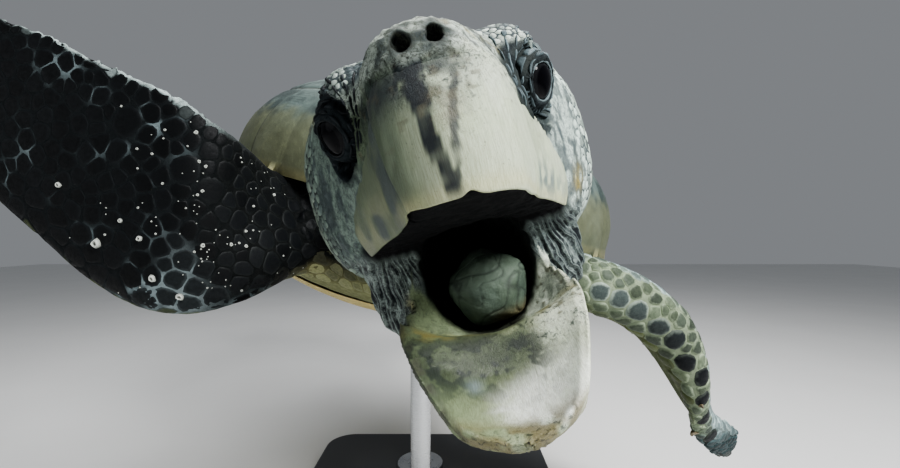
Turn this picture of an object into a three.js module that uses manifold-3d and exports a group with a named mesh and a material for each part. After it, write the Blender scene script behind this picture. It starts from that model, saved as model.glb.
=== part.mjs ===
// A loggerhead turtle, Caretta caretta, life size, swimming with its beak wide open on a museum stand.
//
// Millimetres, +Z up, the head towards -Y and the turtle's left side towards +X.
// Origin: the centre of the underside of the stand's base.
//
// The head has a frame of its own, with its origin at the tip of the upper beak, and so has the shell,
// with its origin at the middle of the widest section, level with the rim. The neck and the front
// flippers cross from one to the other, so they are laid out in the turtle's own frame.
// Pieces that touch keep a gap of GAP between them: a neighbour is cut back by a grown copy of the piece,
// whose surface is moved outwards by "grow".

import * as THREE from 'three';
import { mergeVertices } from 'three/addons/utils/BufferGeometryUtils.js';
import Module from 'manifold-3d';

const wasm = await Module();
wasm.setup();

// ---------------------------------------------------------------- driving dimensions

const GAP = 0.35;
// Half the width of the slabs that mark off the beak and the gape, wider than the head.
const SLAB_HALF_WIDTH = 140;
const degrees = THREE.MathUtils.degToRad;

// Where the head and the shell stand: the place of each frame's origin, and its turn.
const HEAD = { at: [46, -608, 532], yaw: -0.5, roll: -15.1, pitch: 1.9 };
const SHELL = { at: [-4, 68, 579], yaw: 6.5, roll: 14.5, pitch: 4.6 };

// The skull: how it runs back from the beak. Heights are measured from the tip of the beak.
const SKULL = {
  front: -2.5,
  back: 232,
  noseHeight: 16,
  noseRound: 15,
  napeRound: 60,
  squareness: 2.7,
};
const skullWidth = profile(
  [0, 15], [8, 22], [28, 30], [45, 36], [60, 44],
  [94, 62], [120, 79], [160, 96], [232, 82],
);
const skullTop = profile([0, 47], [8, 62], [20, 72], [50, 79], [94, 91], [140, 102], [190, 98], [232, 84]);
const skullWaist = profile([0, 20], [28, 26], [60, 30], [150, 26], [232, 16]);
const skullBottom = profile([0, -22], [28, -26], [94, -42], [150, -45], [232, -42]);

// The biting edge of the upper beak, seen from the side, down to the corner of the mouth.
const TOMIUM = [[-60, 1], [0, 1], [10, 0], [24, -3], [60, -8], [94, -14]];
// From there round the corner and along the opened lower jaw.
const MOUTH_CORNER = [[110, -26], [112, -38], [100, -50], [70, -66], [26, -108], [-60, -190]];
// Where the horn ends and the skin begins, from the bridge of the nose down to the same corner.
const BEAK_BACK = [
  [-60, 49], [8, 48], [22, 49], [35, 43], [52, 34], [63, 27],
  [77, 20], [90, 12], [98, 2], [100, -10], [98, -80],
];

// The lower jaw is drawn shut, and turned down about its hinge.
const JAW = {
  hinge: [165, -20],
  gape: 33.7,
  front: 7,
  back: 172,
  tipRound: 16,
  tipHeight: -15,
  heelRound: 45,
  heelHeight: -38,
  squareness: 2.3,
};
const jawWidth = profile([3, 22], [20, 30], [40, 39], [61, 46], [89, 53], [111, 65], [133, 78], [168, 86]);
const jawRim = profile([3, -11], [30, -6], [61, -2], [94, -4], [130, -14], [168, -30]);
const jawFloor = profile([3, -13], [20, -19], [45, -21], [68, -14], [84, -30], [130, -44], [168, -50]);
const jawUnder = profile([3, -20], [20, -30], [61, -46], [111, -52], [168, -60]);
// Where the lower horn ends: at the rim and, further forward, under the chin.
const CHIN_HORN = [[-60, 40], [110, 40], [104, -16], [62, -44], [40, -64], [40, -120], [-60, -120]];

const THROAT = { at: [0, 168, -42], size: [68, 56, 44] };
const MOUTH = { at: [1, 118, -35], size: [33.5, 60, 41] };
const TONGUE = { at: [5, 122, -51], size: [25, 25, 24] };
const EYE = { at: [45, 80, 53], radius: 15.5 };
const ORBIT = { at: [38, 84, 53], size: [22, 32, 30] };
// The opening between the lids.
const LIDS = { at: [57, 69.5, 49], size: [11, 11, 11] };

// The carapace: a heart in plan, widest at two fifths of its length, and a dome over it.
const CARAPACE = {
  halfWidth: 323,
  ahead: 335,
  behind: 525,
  frontSquareness: 2,
  rearSquareness: 1.75,
  domeHeight: 185,
  domeSquareness: 2.3,
  domeFullness: 0.45,
  thickness: 13,
  rimThinning: 0.4,
  rimDrop: 7,
  innerReach: 0.97,
  nuchalNotch: 14,
  nuchalHalfWidth: 90,
};
const PLASTRON = {
  depth: 165,
  squareness: 5,
  fullness: 0.4,
  thickness: 11,
  edgeSquareness: 8,
  reach: 0.72,
  bridge: 0.2,
  bridgeRun: 120,
};
const TRUNK = { reach: 0.95, ceiling: 20.5, floor: 17 };

// Stations along each limb: its middle, the way to its leading edge, its chord and its thickness.
const FRONT_RIGHT = [
  { at: [-110, -110, 520], lead: [0.2, -0.4, -0.9], chord: 120, thick: 92 },
  { at: [-150, -190, 532], lead: [0.1, -0.4, -0.92], chord: 132, thick: 88 },
  { at: [-180, -268, 522], lead: [-0.1, -0.35, -0.93], chord: 160, thick: 80 },
  { at: [-212, -318, 532], lead: [-0.36, 0.0, -0.93], chord: 188, thick: 58 },
  { at: [-262, -326, 560], lead: [-0.42, 0.12, -0.9], chord: 204, thick: 42 },
  { at: [-326, -326, 601], lead: [-0.48, 0.15, -0.87], chord: 184, thick: 36 },
  { at: [-400, -322, 650], lead: [-0.52, 0.15, -0.84], chord: 160, thick: 28 },
  { at: [-466, -318, 690], lead: [-0.5, 0.15, -0.85], chord: 134, thick: 20 },
  { at: [-530, -312, 726], lead: [-0.42, 0.15, -0.9], chord: 90, thick: 13 },
];
const FRONT_LEFT = [
  { at: [120, -60, 462], lead: [0.1, -0.95, 0.1], chord: 116, thick: 92 },
  { at: [180, -118, 460], lead: [-0.05, -0.98, 0.12], chord: 126, thick: 90 },
  { at: [236, -140, 448], lead: [-0.2, -0.96, 0.12], chord: 138, thick: 86 },
  { at: [295, -132, 422], lead: [-0.32, -0.92, 0.2], chord: 156, thick: 84 },
  { at: [343, -116, 378], lead: [-0.21, -0.87, 0.3], chord: 162, thick: 78 },
  { at: [380, -98, 323], lead: [-0.2, -0.83, 0.32], chord: 154, thick: 60 },
  { at: [411, -80, 264], lead: [-0.34, -0.82, 0.34], chord: 140, thick: 40 },
  { at: [468, -40, 200], lead: [-0.9, -0.54, 0.15], chord: 118, thick: 22 },
  { at: [528, 40, 122], lead: [-0.92, -0.5, 0.15], chord: 84, thick: 12 },
];
// A hind flipper on the left, in the shell's frame; the right one is its mirror image.
const HIND = [
  { at: [120, 330, -70], lead: [0.95, -0.3, 0], chord: 120, thick: 70 },
  { at: [178, 420, -78], lead: [0.95, -0.3, 0], chord: 112, thick: 58 },
  { at: [226, 505, -86], lead: [0.95, -0.3, -0.05], chord: 124, thick: 36 },
  { at: [262, 590, -94], lead: [0.95, -0.3, -0.1], chord: 140, thick: 24 },
  { at: [286, 665, -102], lead: [0.95, -0.25, -0.1], chord: 112, thick: 15 },
];
const TAIL = [
  { at: [0, 400, -76], lead: [1, 0, 0], chord: 104, thick: 72 },
  { at: [0, 480, -84], lead: [1, 0, 0], chord: 82, thick: 56 },
  { at: [4, 560, -94], lead: [1, 0, 0], chord: 52, thick: 38 },
  { at: [10, 628, -104], lead: [1, 0, 0], chord: 20, thick: 16 },
];
const NECK = [
  { at: [40, -455, 545], lead: [1, 0, 0.26], chord: 158, thick: 126 },
  { at: [32, -380, 545], lead: [1, 0, 0.14], chord: 168, thick: 130 },
  { at: [22, -300, 541], lead: [1, 0, 0], chord: 182, thick: 138 },
  { at: [12, -210, 538], lead: [1, 0, -0.12], chord: 204, thick: 148 },
  { at: [4, -110, 540], lead: [1, 0, -0.25], chord: 214, thick: 150 },
];
// Claws: how far along its limb each one grows, its length and how thick its root is.
const FRONT_CLAWS = [{ along: 0.85, length: 22, root: 6 }, { along: 0.76, length: 15, root: 4.5 }];
const HIND_CLAWS = [{ along: 0.68, length: 15, root: 4.5 }, { along: 0.78, length: 11, root: 3.6 }];
// A claw's hook in radians, and how much of its root is gone at the point.
const CLAW = { hook: 0.9, taper: 0.8, rootRound: 0.12, tipRound: 0.05 };
// How a limb's thickness falls from its leading edge: the power of the way across.
const LIMB_TAPER = 0.7;

const STAND = {
  width: 500,
  length: 720,
  cornerRadius: 60,
  thickness: 24,
  chamfer: 4,
  rodRadius: 15,
  rodFillet: 10,
  rodSides: 16,
  flangeRadius: 48,
  flangeHeight: 8,
  rodPlaces: { front: [-4, -86], rear: [-24, 206] },
  rodReach: 470,
};

const COLOURS = {
  skin: '#8d8f78',
  darkSkin: '#23282b',
  horn: '#c9c8a4',
  tongue: '#a8ac8c',
  eye: '#0b0e13',
  carapace: '#77734f',
  plastron: '#c9bd83',
  claw: '#5b5240',
  base: '#2b2d30',
  rod: '#a9adb1',
};

// ---------------------------------------------------------------- curves and closed meshes

// A smooth curve through [place, value] pairs that never swings past them.
function profile(...pairs) {
  const secant = (i) => (pairs[i + 1][1] - pairs[i][1]) / (pairs[i + 1][0] - pairs[i][0]);
  const last = pairs.length - 1;
  const slopes = pairs.map((_, i) => {
    if (i === 0) return secant(0);
    if (i === last) return secant(last - 1);
    const before = secant(i - 1);
    const after = secant(i);
    return before * after > 0 ? (2 * before * after) / (before + after) : 0;
  });
  return (place) => {
    const at = THREE.MathUtils.clamp(place, pairs[0][0], pairs[last][0]);
    let i = 0;
    while (i < last - 1 && at > pairs[i + 1][0]) i += 1;
    const run = pairs[i + 1][0] - pairs[i][0];
    const t = (at - pairs[i][0]) / run;
    const rise = pairs[i + 1][1] - pairs[i][1];
    const bend = run * (slopes[i] * (1 - t) ** 2 * t - slopes[i + 1] * (1 - t) * t ** 2);
    return pairs[i][1] + rise * t * t * (3 - 2 * t) + bend;
  };
}

// How far a rounded end has opened at a distance from its pole: 0 at the pole, 1 past the rounding.
function opening(distance, rounding) {
  const left = Math.max(0, 1 - distance / rounding);
  return Math.sqrt(1 - left * left);
}

// Cosine or sine raised to make an ellipse squarer, with its sign kept.
function squared(value, squareness) {
  return Math.sign(value) * Math.abs(value) ** (2 / squareness);
}

// A sphere's net of rows and sides, laid where place(along, around) says; the ends are single points.
function ringed(rows, sides, place) {
  const geometry = new THREE.SphereGeometry(1, sides, rows);
  const position = geometry.attributes.position;
  const target = new THREE.Vector3();
  for (let row = 0; row <= rows; row += 1) {
    for (let side = 0; side <= sides; side += 1) {
      place(row / rows, (2 * Math.PI * (side % sides)) / sides, target);
      position.setXYZ(row * (sides + 1) + side, target.x, target.y, target.z);
    }
  }
  return geometry;
}

// The volume that a triangle soup encloses, negative when its faces point inwards.
function enclosed(positions, index) {
  const [a, b, c] = [new THREE.Vector3(), new THREE.Vector3(), new THREE.Vector3()];
  let volume = 0;
  for (let i = 0; i < index.length; i += 3) {
    a.fromArray(positions, 3 * index[i]);
    b.fromArray(positions, 3 * index[i + 1]);
    c.fromArray(positions, 3 * index[i + 2]);
    volume += a.dot(b.cross(c)) / 6;
  }
  return volume;
}

// Each vertex's outward direction: the mean of the unit normals of the faces that meet there.
function outwardAt(positions, index) {
  const sums = new Float32Array(positions.length);
  const corners = [new THREE.Vector3(), new THREE.Vector3(), new THREE.Vector3()];
  const normal = new THREE.Vector3();
  for (let i = 0; i < index.length; i += 3) {
    corners.forEach((corner, k) => corner.fromArray(positions, 3 * index[i + k]));
    new THREE.Triangle(...corners).getNormal(normal);
    for (let k = 0; k < 3; k += 1) {
      normal.toArray().forEach((value, axis) => { sums[3 * index[i + k] + axis] += value; });
    }
  }
  for (let i = 0; i < sums.length; i += 3) normal.fromArray(sums, i).normalize().toArray(sums, i);
  return sums;
}

// A closed three.js geometry as a solid for joining and cutting, its surface moved outwards by grow.
function solid(geometry, grow = 0) {
  const bare = geometry.clone();
  bare.deleteAttribute('normal');
  bare.deleteAttribute('uv');
  const merged = mergeVertices(bare, 1e-4);
  const vertProperties = merged.attributes.position.array;
  if (enclosed(vertProperties, merged.index.array) < 0) merged.index.array.reverse();
  const triVerts = new Uint32Array(merged.index.array);
  const whole = new wasm.Manifold(new wasm.Mesh({ numProp: 3, vertProperties, triVerts }));
  if (grow === 0) return whole;
  const moved = vertProperties.slice();
  outwardAt(vertProperties, triVerts).forEach((way, i) => { moved[i] += grow * way; });
  return whole.add(new wasm.Manifold(new wasm.Mesh({ numProp: 3, vertProperties: moved, triVerts })));
}

// A solid carried from a group's frame into the turtle's.
function carried(shape, frame) {
  return shape.transform(frame.matrix.elements);
}

// The solid as a geometry again, with flat faces.
function geometryOf(shape) {
  const mesh = shape.getMesh();
  const geometry = new THREE.BufferGeometry();
  geometry.setAttribute('position', new THREE.BufferAttribute(new Float32Array(mesh.vertProperties), 3));
  geometry.setIndex(new THREE.BufferAttribute(new Uint32Array(mesh.triVerts), 1));
  const flat = geometry.toNonIndexed();
  flat.computeVertexNormals();
  return flat;
}

function joined(...shapes) {
  return shapes.reduce((whole, shape) => whole.add(shape));
}

function cut(shape, ...tools) {
  return tools.reduce((left, tool) => left.subtract(tool), shape);
}

// The biggest lump, when a cut leaves crumbs beside it.
function mainLump(shape) {
  return shape.decompose().sort((one, other) => other.volume() - one.volume())[0];
}

function frameOf(place) {
  const group = new THREE.Group();
  group.position.set(...place.at);
  group.rotation.set(degrees(place.pitch), degrees(place.roll), degrees(place.yaw), 'ZYX');
  group.updateMatrix();
  return group;
}

// An ellipsoid with a radius for each axis.
function ellipsoid(at, size, grow = 0) {
  const geometry = new THREE.SphereGeometry(1, 14, 10);
  geometry.scale(...size);
  geometry.translate(...at);
  return solid(geometry, grow);
}

// A slab as wide as the head whose side view is the outline of [run, height] points.
function sideSlab(outline) {
  const shape = new THREE.Shape(outline.map(([run, height]) => new THREE.Vector2(run, height)));
  const geometry = new THREE.ExtrudeGeometry(shape, { depth: 2 * SLAB_HALF_WIDTH, bevelEnabled: false });
  geometry.translate(0, 0, -SLAB_HALF_WIDTH);
  // The outline's run becomes Y, its height Z, and the depth X.
  return geometry.applyMatrix4(new THREE.Matrix4().set(0, 0, 1, 0, 1, 0, 0, 0, 0, 1, 0, 0, 0, 0, 0, 1));
}

// A limb through its stations: a rounded sheet, thicker along its leading edge, with rounded ends.
// Its rows draw together towards the tip, where the outline turns.
function limb(stations, { rows, sides, grow = 0, rootRound = 0.05, tipRound = 0.16, trailing = 0.4 }) {
  const through = (pick) => new THREE.CatmullRomCurve3(stations.map((s) => new THREE.Vector3(...pick(s))));
  const middle = through((s) => s.at);
  const lead = through((s) => s.lead);
  const size = through((s) => [s.chord / 2, s.thick / 2, 0]);
  const geometry = ringed(rows, sides, (along, around, target) => {
    const t = Math.sin((Math.PI / 2) * along);
    const chordwise = lead.getPoint(t).normalize();
    const normal = new THREE.Vector3().crossVectors(middle.getTangent(t), chordwise).normalize();
    const open = opening(t, rootRound) * opening(1 - t, tipRound);
    const { x: chord, y: thick } = size.getPoint(t);
    const across = Math.cos(around);
    const taper = trailing + (1 - trailing) * ((1 + across) / 2) ** LIMB_TAPER;
    target.copy(middle.getPoint(t));
    target.addScaledVector(chordwise, chord * open * across);
    target.addScaledVector(normal, thick * taper * open * Math.sin(around));
  });
  return solid(geometry, grow);
}

// ---------------------------------------------------------------- the head, in its own frame

function skull(grow = 0) {
  const { front, back, noseHeight, noseRound, napeRound, squareness } = SKULL;
  const length = back - front;
  const geometry = ringed(18, 20, (along, around, target) => {
    const run = ((1 - Math.cos(Math.PI * along)) / 2) * length;
    const y = front + run;
    const open = opening(run, noseRound) * opening(length - run, napeRound);
    const waist = THREE.MathUtils.lerp(noseHeight, skullWaist(y), opening(run, noseRound));
    const up = Math.sin(around);
    const reach = up > 0 ? skullTop(y) - waist : waist - skullBottom(y);
    const x = skullWidth(y) * open * squared(Math.cos(around), squareness);
    target.set(x, y, waist + reach * open * squared(up, squareness));
  });
  return solid(geometry, grow);
}

// The lower jaw with the scoop of its inner face, opened about the hinge.
function jaw(grow = 0) {
  const { front, back, tipRound, tipHeight, heelRound, heelHeight, squareness } = JAW;
  const length = back - front;
  const geometry = ringed(14, 16, (along, around, target) => {
    const run = ((1 - Math.cos(Math.PI * along)) / 2) * length;
    const y = front + run;
    const open = opening(run, tipRound) * opening(length - run, heelRound);
    const rim = THREE.MathUtils.lerp(run < length / 2 ? tipHeight : heelHeight, jawRim(y), open);
    const up = Math.sin(around);
    const sag = (rim - jawFloor(y)) * open;
    const drop = (rim - jawUnder(y)) * open;
    const x = jawWidth(y) * open * squared(Math.cos(around), squareness);
    target.set(x, y, rim + (up > 0 ? -sag : drop) * up);
  });
  return solid(opened(geometry), grow);
}

// What is drawn with the jaw shut, turned down with the jaw.
function opened(geometry) {
  const [y, z] = JAW.hinge;
  return geometry.translate(0, -y, -z).rotateX(degrees(JAW.gape)).translate(0, y, z);
}

// The room between the biting edges, back to the corner of the mouth.
function gapeWedge() {
  return solid(sideSlab([...TOMIUM, ...MOUTH_CORNER]));
}

// The part of the skull that is horn.
function beakRegion(grow = 0) {
  return solid(sideSlab([...BEAK_BACK, [-60, -80]]), grow);
}

// The part of the lower jaw that is horn.
function chinRegion(grow = 0) {
  return solid(opened(sideSlab(CHIN_HORN)), grow);
}

function eyeball(side, grow = 0) {
  const [x, y, z] = EYE.at;
  const radius = EYE.radius;
  return ellipsoid([side * x, y, z], [radius, radius, radius], grow);
}

function orbit(side) {
  const [x, y, z] = ORBIT.at;
  return ellipsoid([side * x, y, z], ORBIT.size);
}

function lidOpening(side) {
  const [x, y, z] = LIDS.at;
  return ellipsoid([side * x, y, z], LIDS.size);
}

function tongue(grow = 0) {
  return ellipsoid(TONGUE.at, TONGUE.size, grow);
}

function headSolids() {
  const mouth = ellipsoid(MOUTH.at, MOUTH.size);
  const wedge = gapeWedge();
  const flesh = joined(skull(), orbit(1), orbit(-1), ellipsoid(THROAT.at, THROAT.size));
  const eyeSockets = [1, -1].flatMap((side) => [eyeball(side, GAP), lidOpening(side)]);
  const grownBeak = skull(GAP).intersect(beakRegion(GAP));
  return {
    upper_beak: cut(skull().intersect(beakRegion()), wedge, mouth),
    head: cut(flesh, grownBeak, wedge, mouth, jaw(GAP), tongue(GAP), ...eyeSockets),
    lower_beak: cut(jaw().intersect(chinRegion()), mouth),
    lower_jaw: cut(jaw(), chinRegion(GAP), mouth, tongue(GAP)),
    tongue: tongue(),
    eye_left: eyeball(1),
    eye_right: eyeball(-1),
  };
}

// All that a neck must stop short of.
function headEnvelope(grow) {
  return joined(skull(grow), jaw(grow), ellipsoid(THROAT.at, THROAT.size, grow));
}

// ---------------------------------------------------------------- the shell, in its own frame

// The rim's plan: around turns from the front, 0, by the left side to the tail end, pi.
function rimPoint(around) {
  const ahead = Math.cos(around) > 0;
  const squareness = ahead ? CARAPACE.frontSquareness : CARAPACE.rearSquareness;
  const run = ahead ? CARAPACE.ahead : CARAPACE.behind;
  const x = CARAPACE.halfWidth * squared(Math.sin(around), squareness);
  const y = -run * squared(Math.cos(around), squareness);
  const notch = ahead ? CARAPACE.nuchalNotch * Math.exp(-((x / CARAPACE.nuchalHalfWidth) ** 2)) : 0;
  return [x, y + notch];
}

function domeHeight(reach) {
  const { domeHeight: height, domeSquareness, domeFullness } = CARAPACE;
  return height * Math.max(0, 1 - reach ** domeSquareness) ** domeFullness;
}

function underDepth(reach) {
  const { depth, squareness, fullness } = PLASTRON;
  return depth * Math.max(0, 1 - reach ** squareness) ** fullness;
}

// A lens over the shell's plan: rows run from the middle of its top to the edge and back underneath.
function lens({ rows, sides, edge, top, bottom, grow = 0 }) {
  const geometry = ringed(rows, sides, (along, around, target) => {
    const above = along <= 0.5;
    const share = Math.sin(Math.PI * (above ? along : 1 - along));
    const reach = edge(around) * share;
    const [x, y] = rimPoint(around);
    target.set(x * reach, y * reach, (above ? top : bottom)(reach, share));
  });
  return solid(geometry, grow);
}

// The carapace thins a little towards its rim, which hangs below the edge of the dome.
function carapace(grow = 0) {
  const { thickness, rimThinning, rimDrop, innerReach } = CARAPACE;
  const depth = (reach) => thickness * (1 - rimThinning * reach) + rimDrop * reach;
  return lens({
    rows: 14,
    sides: 30,
    edge: () => 1,
    top: domeHeight,
    bottom: (reach) => domeHeight(reach / innerReach) - depth(reach),
    grow,
  });
}

// The plastron reaches further out at mid-length, where its bridge climbs to the rim.
function plastronEdge(around) {
  const [, y] = rimPoint(around);
  return PLASTRON.reach + PLASTRON.bridge * Math.exp(-((y / PLASTRON.bridgeRun) ** 2));
}

function plastron(grow = 0) {
  const { thickness, edgeSquareness } = PLASTRON;
  const depth = (share) => thickness * Math.sqrt(Math.max(0, 1 - share ** edgeSquareness));
  return lens({
    rows: 10,
    sides: 24,
    edge: plastronEdge,
    top: (reach) => -underDepth(reach),
    bottom: (reach, share) => -underDepth(reach) - depth(share),
    grow,
  });
}

// The body between the two, a little inside the rim.
function trunkCore() {
  const { reach: trunkReach, ceiling, floor } = TRUNK;
  return lens({
    rows: 10,
    sides: 20,
    edge: () => trunkReach,
    top: (reach) => domeHeight(reach / CARAPACE.innerReach) - ceiling,
    bottom: (reach) => -Math.max(floor, underDepth(reach) - GAP),
  });
}

// The same limb on the other side.
function mirrored(stations) {
  const flipped = ([x, y, z]) => [-x, y, z];
  return stations.map((s) => ({ ...s, at: flipped(s.at), lead: flipped(s.lead) }));
}

// ---------------------------------------------------------------- claws

// A curved horn cone that leaves the leading edge of a limb and hooks towards the limb's tip.
function claw(stations, { along, length, root }, grow = 0) {
  const through = (pick) => new THREE.CatmullRomCurve3(stations.map((s) => new THREE.Vector3(...pick(s))));
  const lead = through((s) => s.lead).getPoint(along).normalize();
  const onward = through((s) => s.at).getTangent(along);
  const side = new THREE.Vector3().crossVectors(lead, onward).normalize();
  const edge = through((s) => s.at).getPoint(along);
  edge.addScaledVector(lead, through((s) => [s.chord / 2, 0, 0]).getPoint(along).x - root);
  const bendRadius = (length + root) / CLAW.hook;
  const geometry = ringed(5, 8, (run, around, target) => {
    const turn = CLAW.hook * run;
    const open = opening(run, CLAW.rootRound) * opening(1 - run, CLAW.tipRound);
    const radius = root * (1 - CLAW.taper * run) * open;
    const inward = radius * Math.cos(around);
    target.copy(edge);
    target.addScaledVector(lead, (bendRadius - inward) * Math.sin(turn));
    target.addScaledVector(onward, bendRadius * (1 - Math.cos(turn)) + inward * Math.cos(turn));
    target.addScaledVector(side, radius * Math.sin(around));
  });
  return solid(geometry, grow);
}

// ---------------------------------------------------------------- the stand

function standBase() {
  const { width, length, cornerRadius, thickness, chamfer } = STAND;
  const [x, y] = [width / 2 - chamfer, length / 2 - chamfer];
  const outline = new THREE.Shape();
  outline.moveTo(x - cornerRadius, -y);
  outline.absarc(x - cornerRadius, -y + cornerRadius, cornerRadius, -Math.PI / 2, 0);
  outline.absarc(x - cornerRadius, y - cornerRadius, cornerRadius, 0, Math.PI / 2);
  outline.absarc(-x + cornerRadius, y - cornerRadius, cornerRadius, Math.PI / 2, Math.PI);
  outline.absarc(-x + cornerRadius, -y + cornerRadius, cornerRadius, Math.PI, 1.5 * Math.PI);
  const geometry = new THREE.ExtrudeGeometry(outline, {
    depth: thickness - 2 * chamfer,
    bevelThickness: chamfer,
    bevelSize: chamfer,
    bevelSegments: 1,
    curveSegments: 4,
  });
  geometry.translate(0, 0, chamfer);
  return solid(geometry);
}

// A rod with its flange, standing on the base and cut off where it meets the plastron.
function standRod([x, y]) {
  const { thickness, rodRadius, rodFillet, rodSides, flangeRadius, flangeHeight, rodReach } = STAND;
  const foot = thickness + GAP;
  const outline = [
    [0, foot],
    [flangeRadius, foot],
    [flangeRadius, foot + flangeHeight],
    [rodRadius + rodFillet, foot + flangeHeight],
    [rodRadius, foot + flangeHeight + rodFillet],
    [rodRadius, rodReach],
    [0, rodReach],
  ];
  const profilePoints = outline.map(([radius, height]) => new THREE.Vector2(radius, height));
  const geometry = new THREE.LatheGeometry(profilePoints, rodSides);
  geometry.rotateX(Math.PI / 2);
  geometry.translate(x, y, 0);
  return solid(geometry);
}

// ---------------------------------------------------------------- the whole turtle

const FINISH = {
  skin: { color: COLOURS.skin, roughness: 0.7, metalness: 0 },
  darkSkin: { color: COLOURS.darkSkin, roughness: 0.55, metalness: 0 },
  horn: { color: COLOURS.horn, roughness: 0.5, metalness: 0 },
  tongue: { color: COLOURS.tongue, roughness: 0.35, metalness: 0 },
  eye: { color: COLOURS.eye, roughness: 0.08, metalness: 0 },
  carapace: { color: COLOURS.carapace, roughness: 0.75, metalness: 0 },
  plastron: { color: COLOURS.plastron, roughness: 0.6, metalness: 0 },
  claw: { color: COLOURS.claw, roughness: 0.45, metalness: 0 },
  base: { color: COLOURS.base, roughness: 0.5, metalness: 0 },
  rod: { color: COLOURS.rod, roughness: 0.3, metalness: 1 },
};

function piece(name, shape, finish) {
  const mesh = new THREE.Mesh(geometryOf(mainLump(shape)), new THREE.MeshStandardMaterial(FINISH[finish]));
  mesh.name = name;
  return mesh;
}

const turtle = new THREE.Group();
const headFrame = frameOf(HEAD);
const shellFrame = frameOf(SHELL);
turtle.add(headFrame, shellFrame);

const headFinish = {
  upper_beak: 'horn',
  head: 'skin',
  lower_beak: 'horn',
  lower_jaw: 'skin',
  tongue: 'tongue',
  eye_left: 'eye',
  eye_right: 'eye',
};
for (const [name, shape] of Object.entries(headSolids())) {
  headFrame.add(piece(name, shape, headFinish[name]));
}

// The shell's own pieces, and the same shapes in the turtle's frame for cutting what meets them.
const tailOf = (grow = 0) => limb(TAIL, { rows: 7, sides: 10, grow, trailing: 1, tipRound: 0.12 });
const hindOf = (stations, grow = 0) => limb(stations, { rows: 10, sides: 12, grow });
const hinds = { left: HIND, right: mirrored(HIND) };
const shellGrown = [carapace(GAP), plastron(GAP)];
shellFrame.add(piece('carapace', carapace(), 'carapace'));
shellFrame.add(piece('plastron', cut(plastron(), carapace(GAP)), 'plastron'));
for (const [side, stations] of Object.entries(hinds)) {
  const clawShapes = (grow) => HIND_CLAWS.map((each) => claw(stations, each, grow));
  const flipper = cut(hindOf(stations), ...shellGrown, ...clawShapes(GAP));
  shellFrame.add(piece(`hind_flipper_${side}`, flipper, 'skin'));
  clawShapes(0).forEach((shape, i) => shellFrame.add(piece(`hind_claw_${side}_${i + 1}`, shape, 'claw')));
}
shellFrame.add(piece('tail', cut(tailOf(), ...shellGrown), 'skin'));

// What crosses from the shell to the head, or stands out of the shell to the front.
const shellInWorld = shellGrown.map((shape) => carried(shape, shellFrame));
const neckOf = (grow = 0) => limb(NECK, { rows: 7, sides: 16, grow, trailing: 1, tipRound: 0.1 });
turtle.add(piece('neck', cut(neckOf(), carried(headEnvelope(GAP), headFrame), ...shellInWorld), 'skin'));
const fronts = { left: FRONT_LEFT, right: FRONT_RIGHT };
const frontOf = (stations, grow = 0) => limb(stations, { rows: 18, sides: 12, grow });
for (const [side, stations] of Object.entries(fronts)) {
  const clawShapes = (grow) => FRONT_CLAWS.map((each) => claw(stations, each, grow));
  const flipper = cut(frontOf(stations), ...shellInWorld, neckOf(GAP), ...clawShapes(GAP));
  turtle.add(piece(`front_flipper_${side}`, flipper, side === 'right' ? 'darkSkin' : 'skin'));
  clawShapes(0).forEach((shape, i) => turtle.add(piece(`front_claw_${side}_${i + 1}`, shape, 'claw')));
}

// The trunk fills what is left between the two halves of the shell.
const toShell = new THREE.Group();
shellFrame.matrix.clone().invert().decompose(toShell.position, toShell.quaternion, toShell.scale);
toShell.updateMatrix();
const crossing = [neckOf(GAP), frontOf(FRONT_LEFT, GAP), frontOf(FRONT_RIGHT, GAP)];
const trunk = cut(
  trunkCore(),
  ...shellGrown,
  ...crossing.map((shape) => carried(shape, toShell)),
  ...Object.values(hinds).map((stations) => hindOf(stations, GAP)),
  tailOf(GAP),
);
shellFrame.add(piece('trunk', trunk, 'skin'));

turtle.add(piece('stand_base', standBase(), 'base'));
for (const [name, place] of Object.entries(STAND.rodPlaces)) {
  turtle.add(piece(`stand_rod_${name}`, cut(standRod(place), ...shellInWorld), 'rod'));
}

export default turtle;
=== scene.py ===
"""The looks of a life-size loggerhead turtle that swims with its beak wide open, on a museum stand.

Shapes are worked out in millimetres in the part's own frames and go to Blender in metres.
The head's frame has its origin at the tip of the upper beak, x to the turtle's left, y backwards, z up.
The shell's frame has its origin at the middle of its widest section, level with the rim.
"""

import itertools
import math

import bpy
import numpy as np
import openvdb
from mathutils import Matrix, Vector
from mathutils.bvhtree import BVHTree
from mathutils.kdtree import KDTree


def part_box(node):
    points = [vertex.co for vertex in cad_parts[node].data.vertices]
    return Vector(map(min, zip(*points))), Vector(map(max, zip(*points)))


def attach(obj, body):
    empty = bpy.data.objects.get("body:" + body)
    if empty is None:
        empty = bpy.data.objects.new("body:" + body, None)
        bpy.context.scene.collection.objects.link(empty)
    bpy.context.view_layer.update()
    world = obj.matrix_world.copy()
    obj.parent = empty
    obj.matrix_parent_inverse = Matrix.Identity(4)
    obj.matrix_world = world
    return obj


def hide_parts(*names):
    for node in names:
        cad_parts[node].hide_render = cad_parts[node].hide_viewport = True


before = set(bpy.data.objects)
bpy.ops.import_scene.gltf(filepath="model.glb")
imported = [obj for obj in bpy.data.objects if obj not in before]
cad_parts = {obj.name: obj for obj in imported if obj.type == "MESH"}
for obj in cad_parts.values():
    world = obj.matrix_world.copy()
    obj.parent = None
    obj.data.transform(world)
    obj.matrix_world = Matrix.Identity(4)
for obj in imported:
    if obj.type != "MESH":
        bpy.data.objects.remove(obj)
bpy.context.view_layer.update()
MM = 0.001
TURN = 2 * math.pi
random = np.random.default_rng(7)


# ---------------------------------------------------------------- curves, blends and noise


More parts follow.
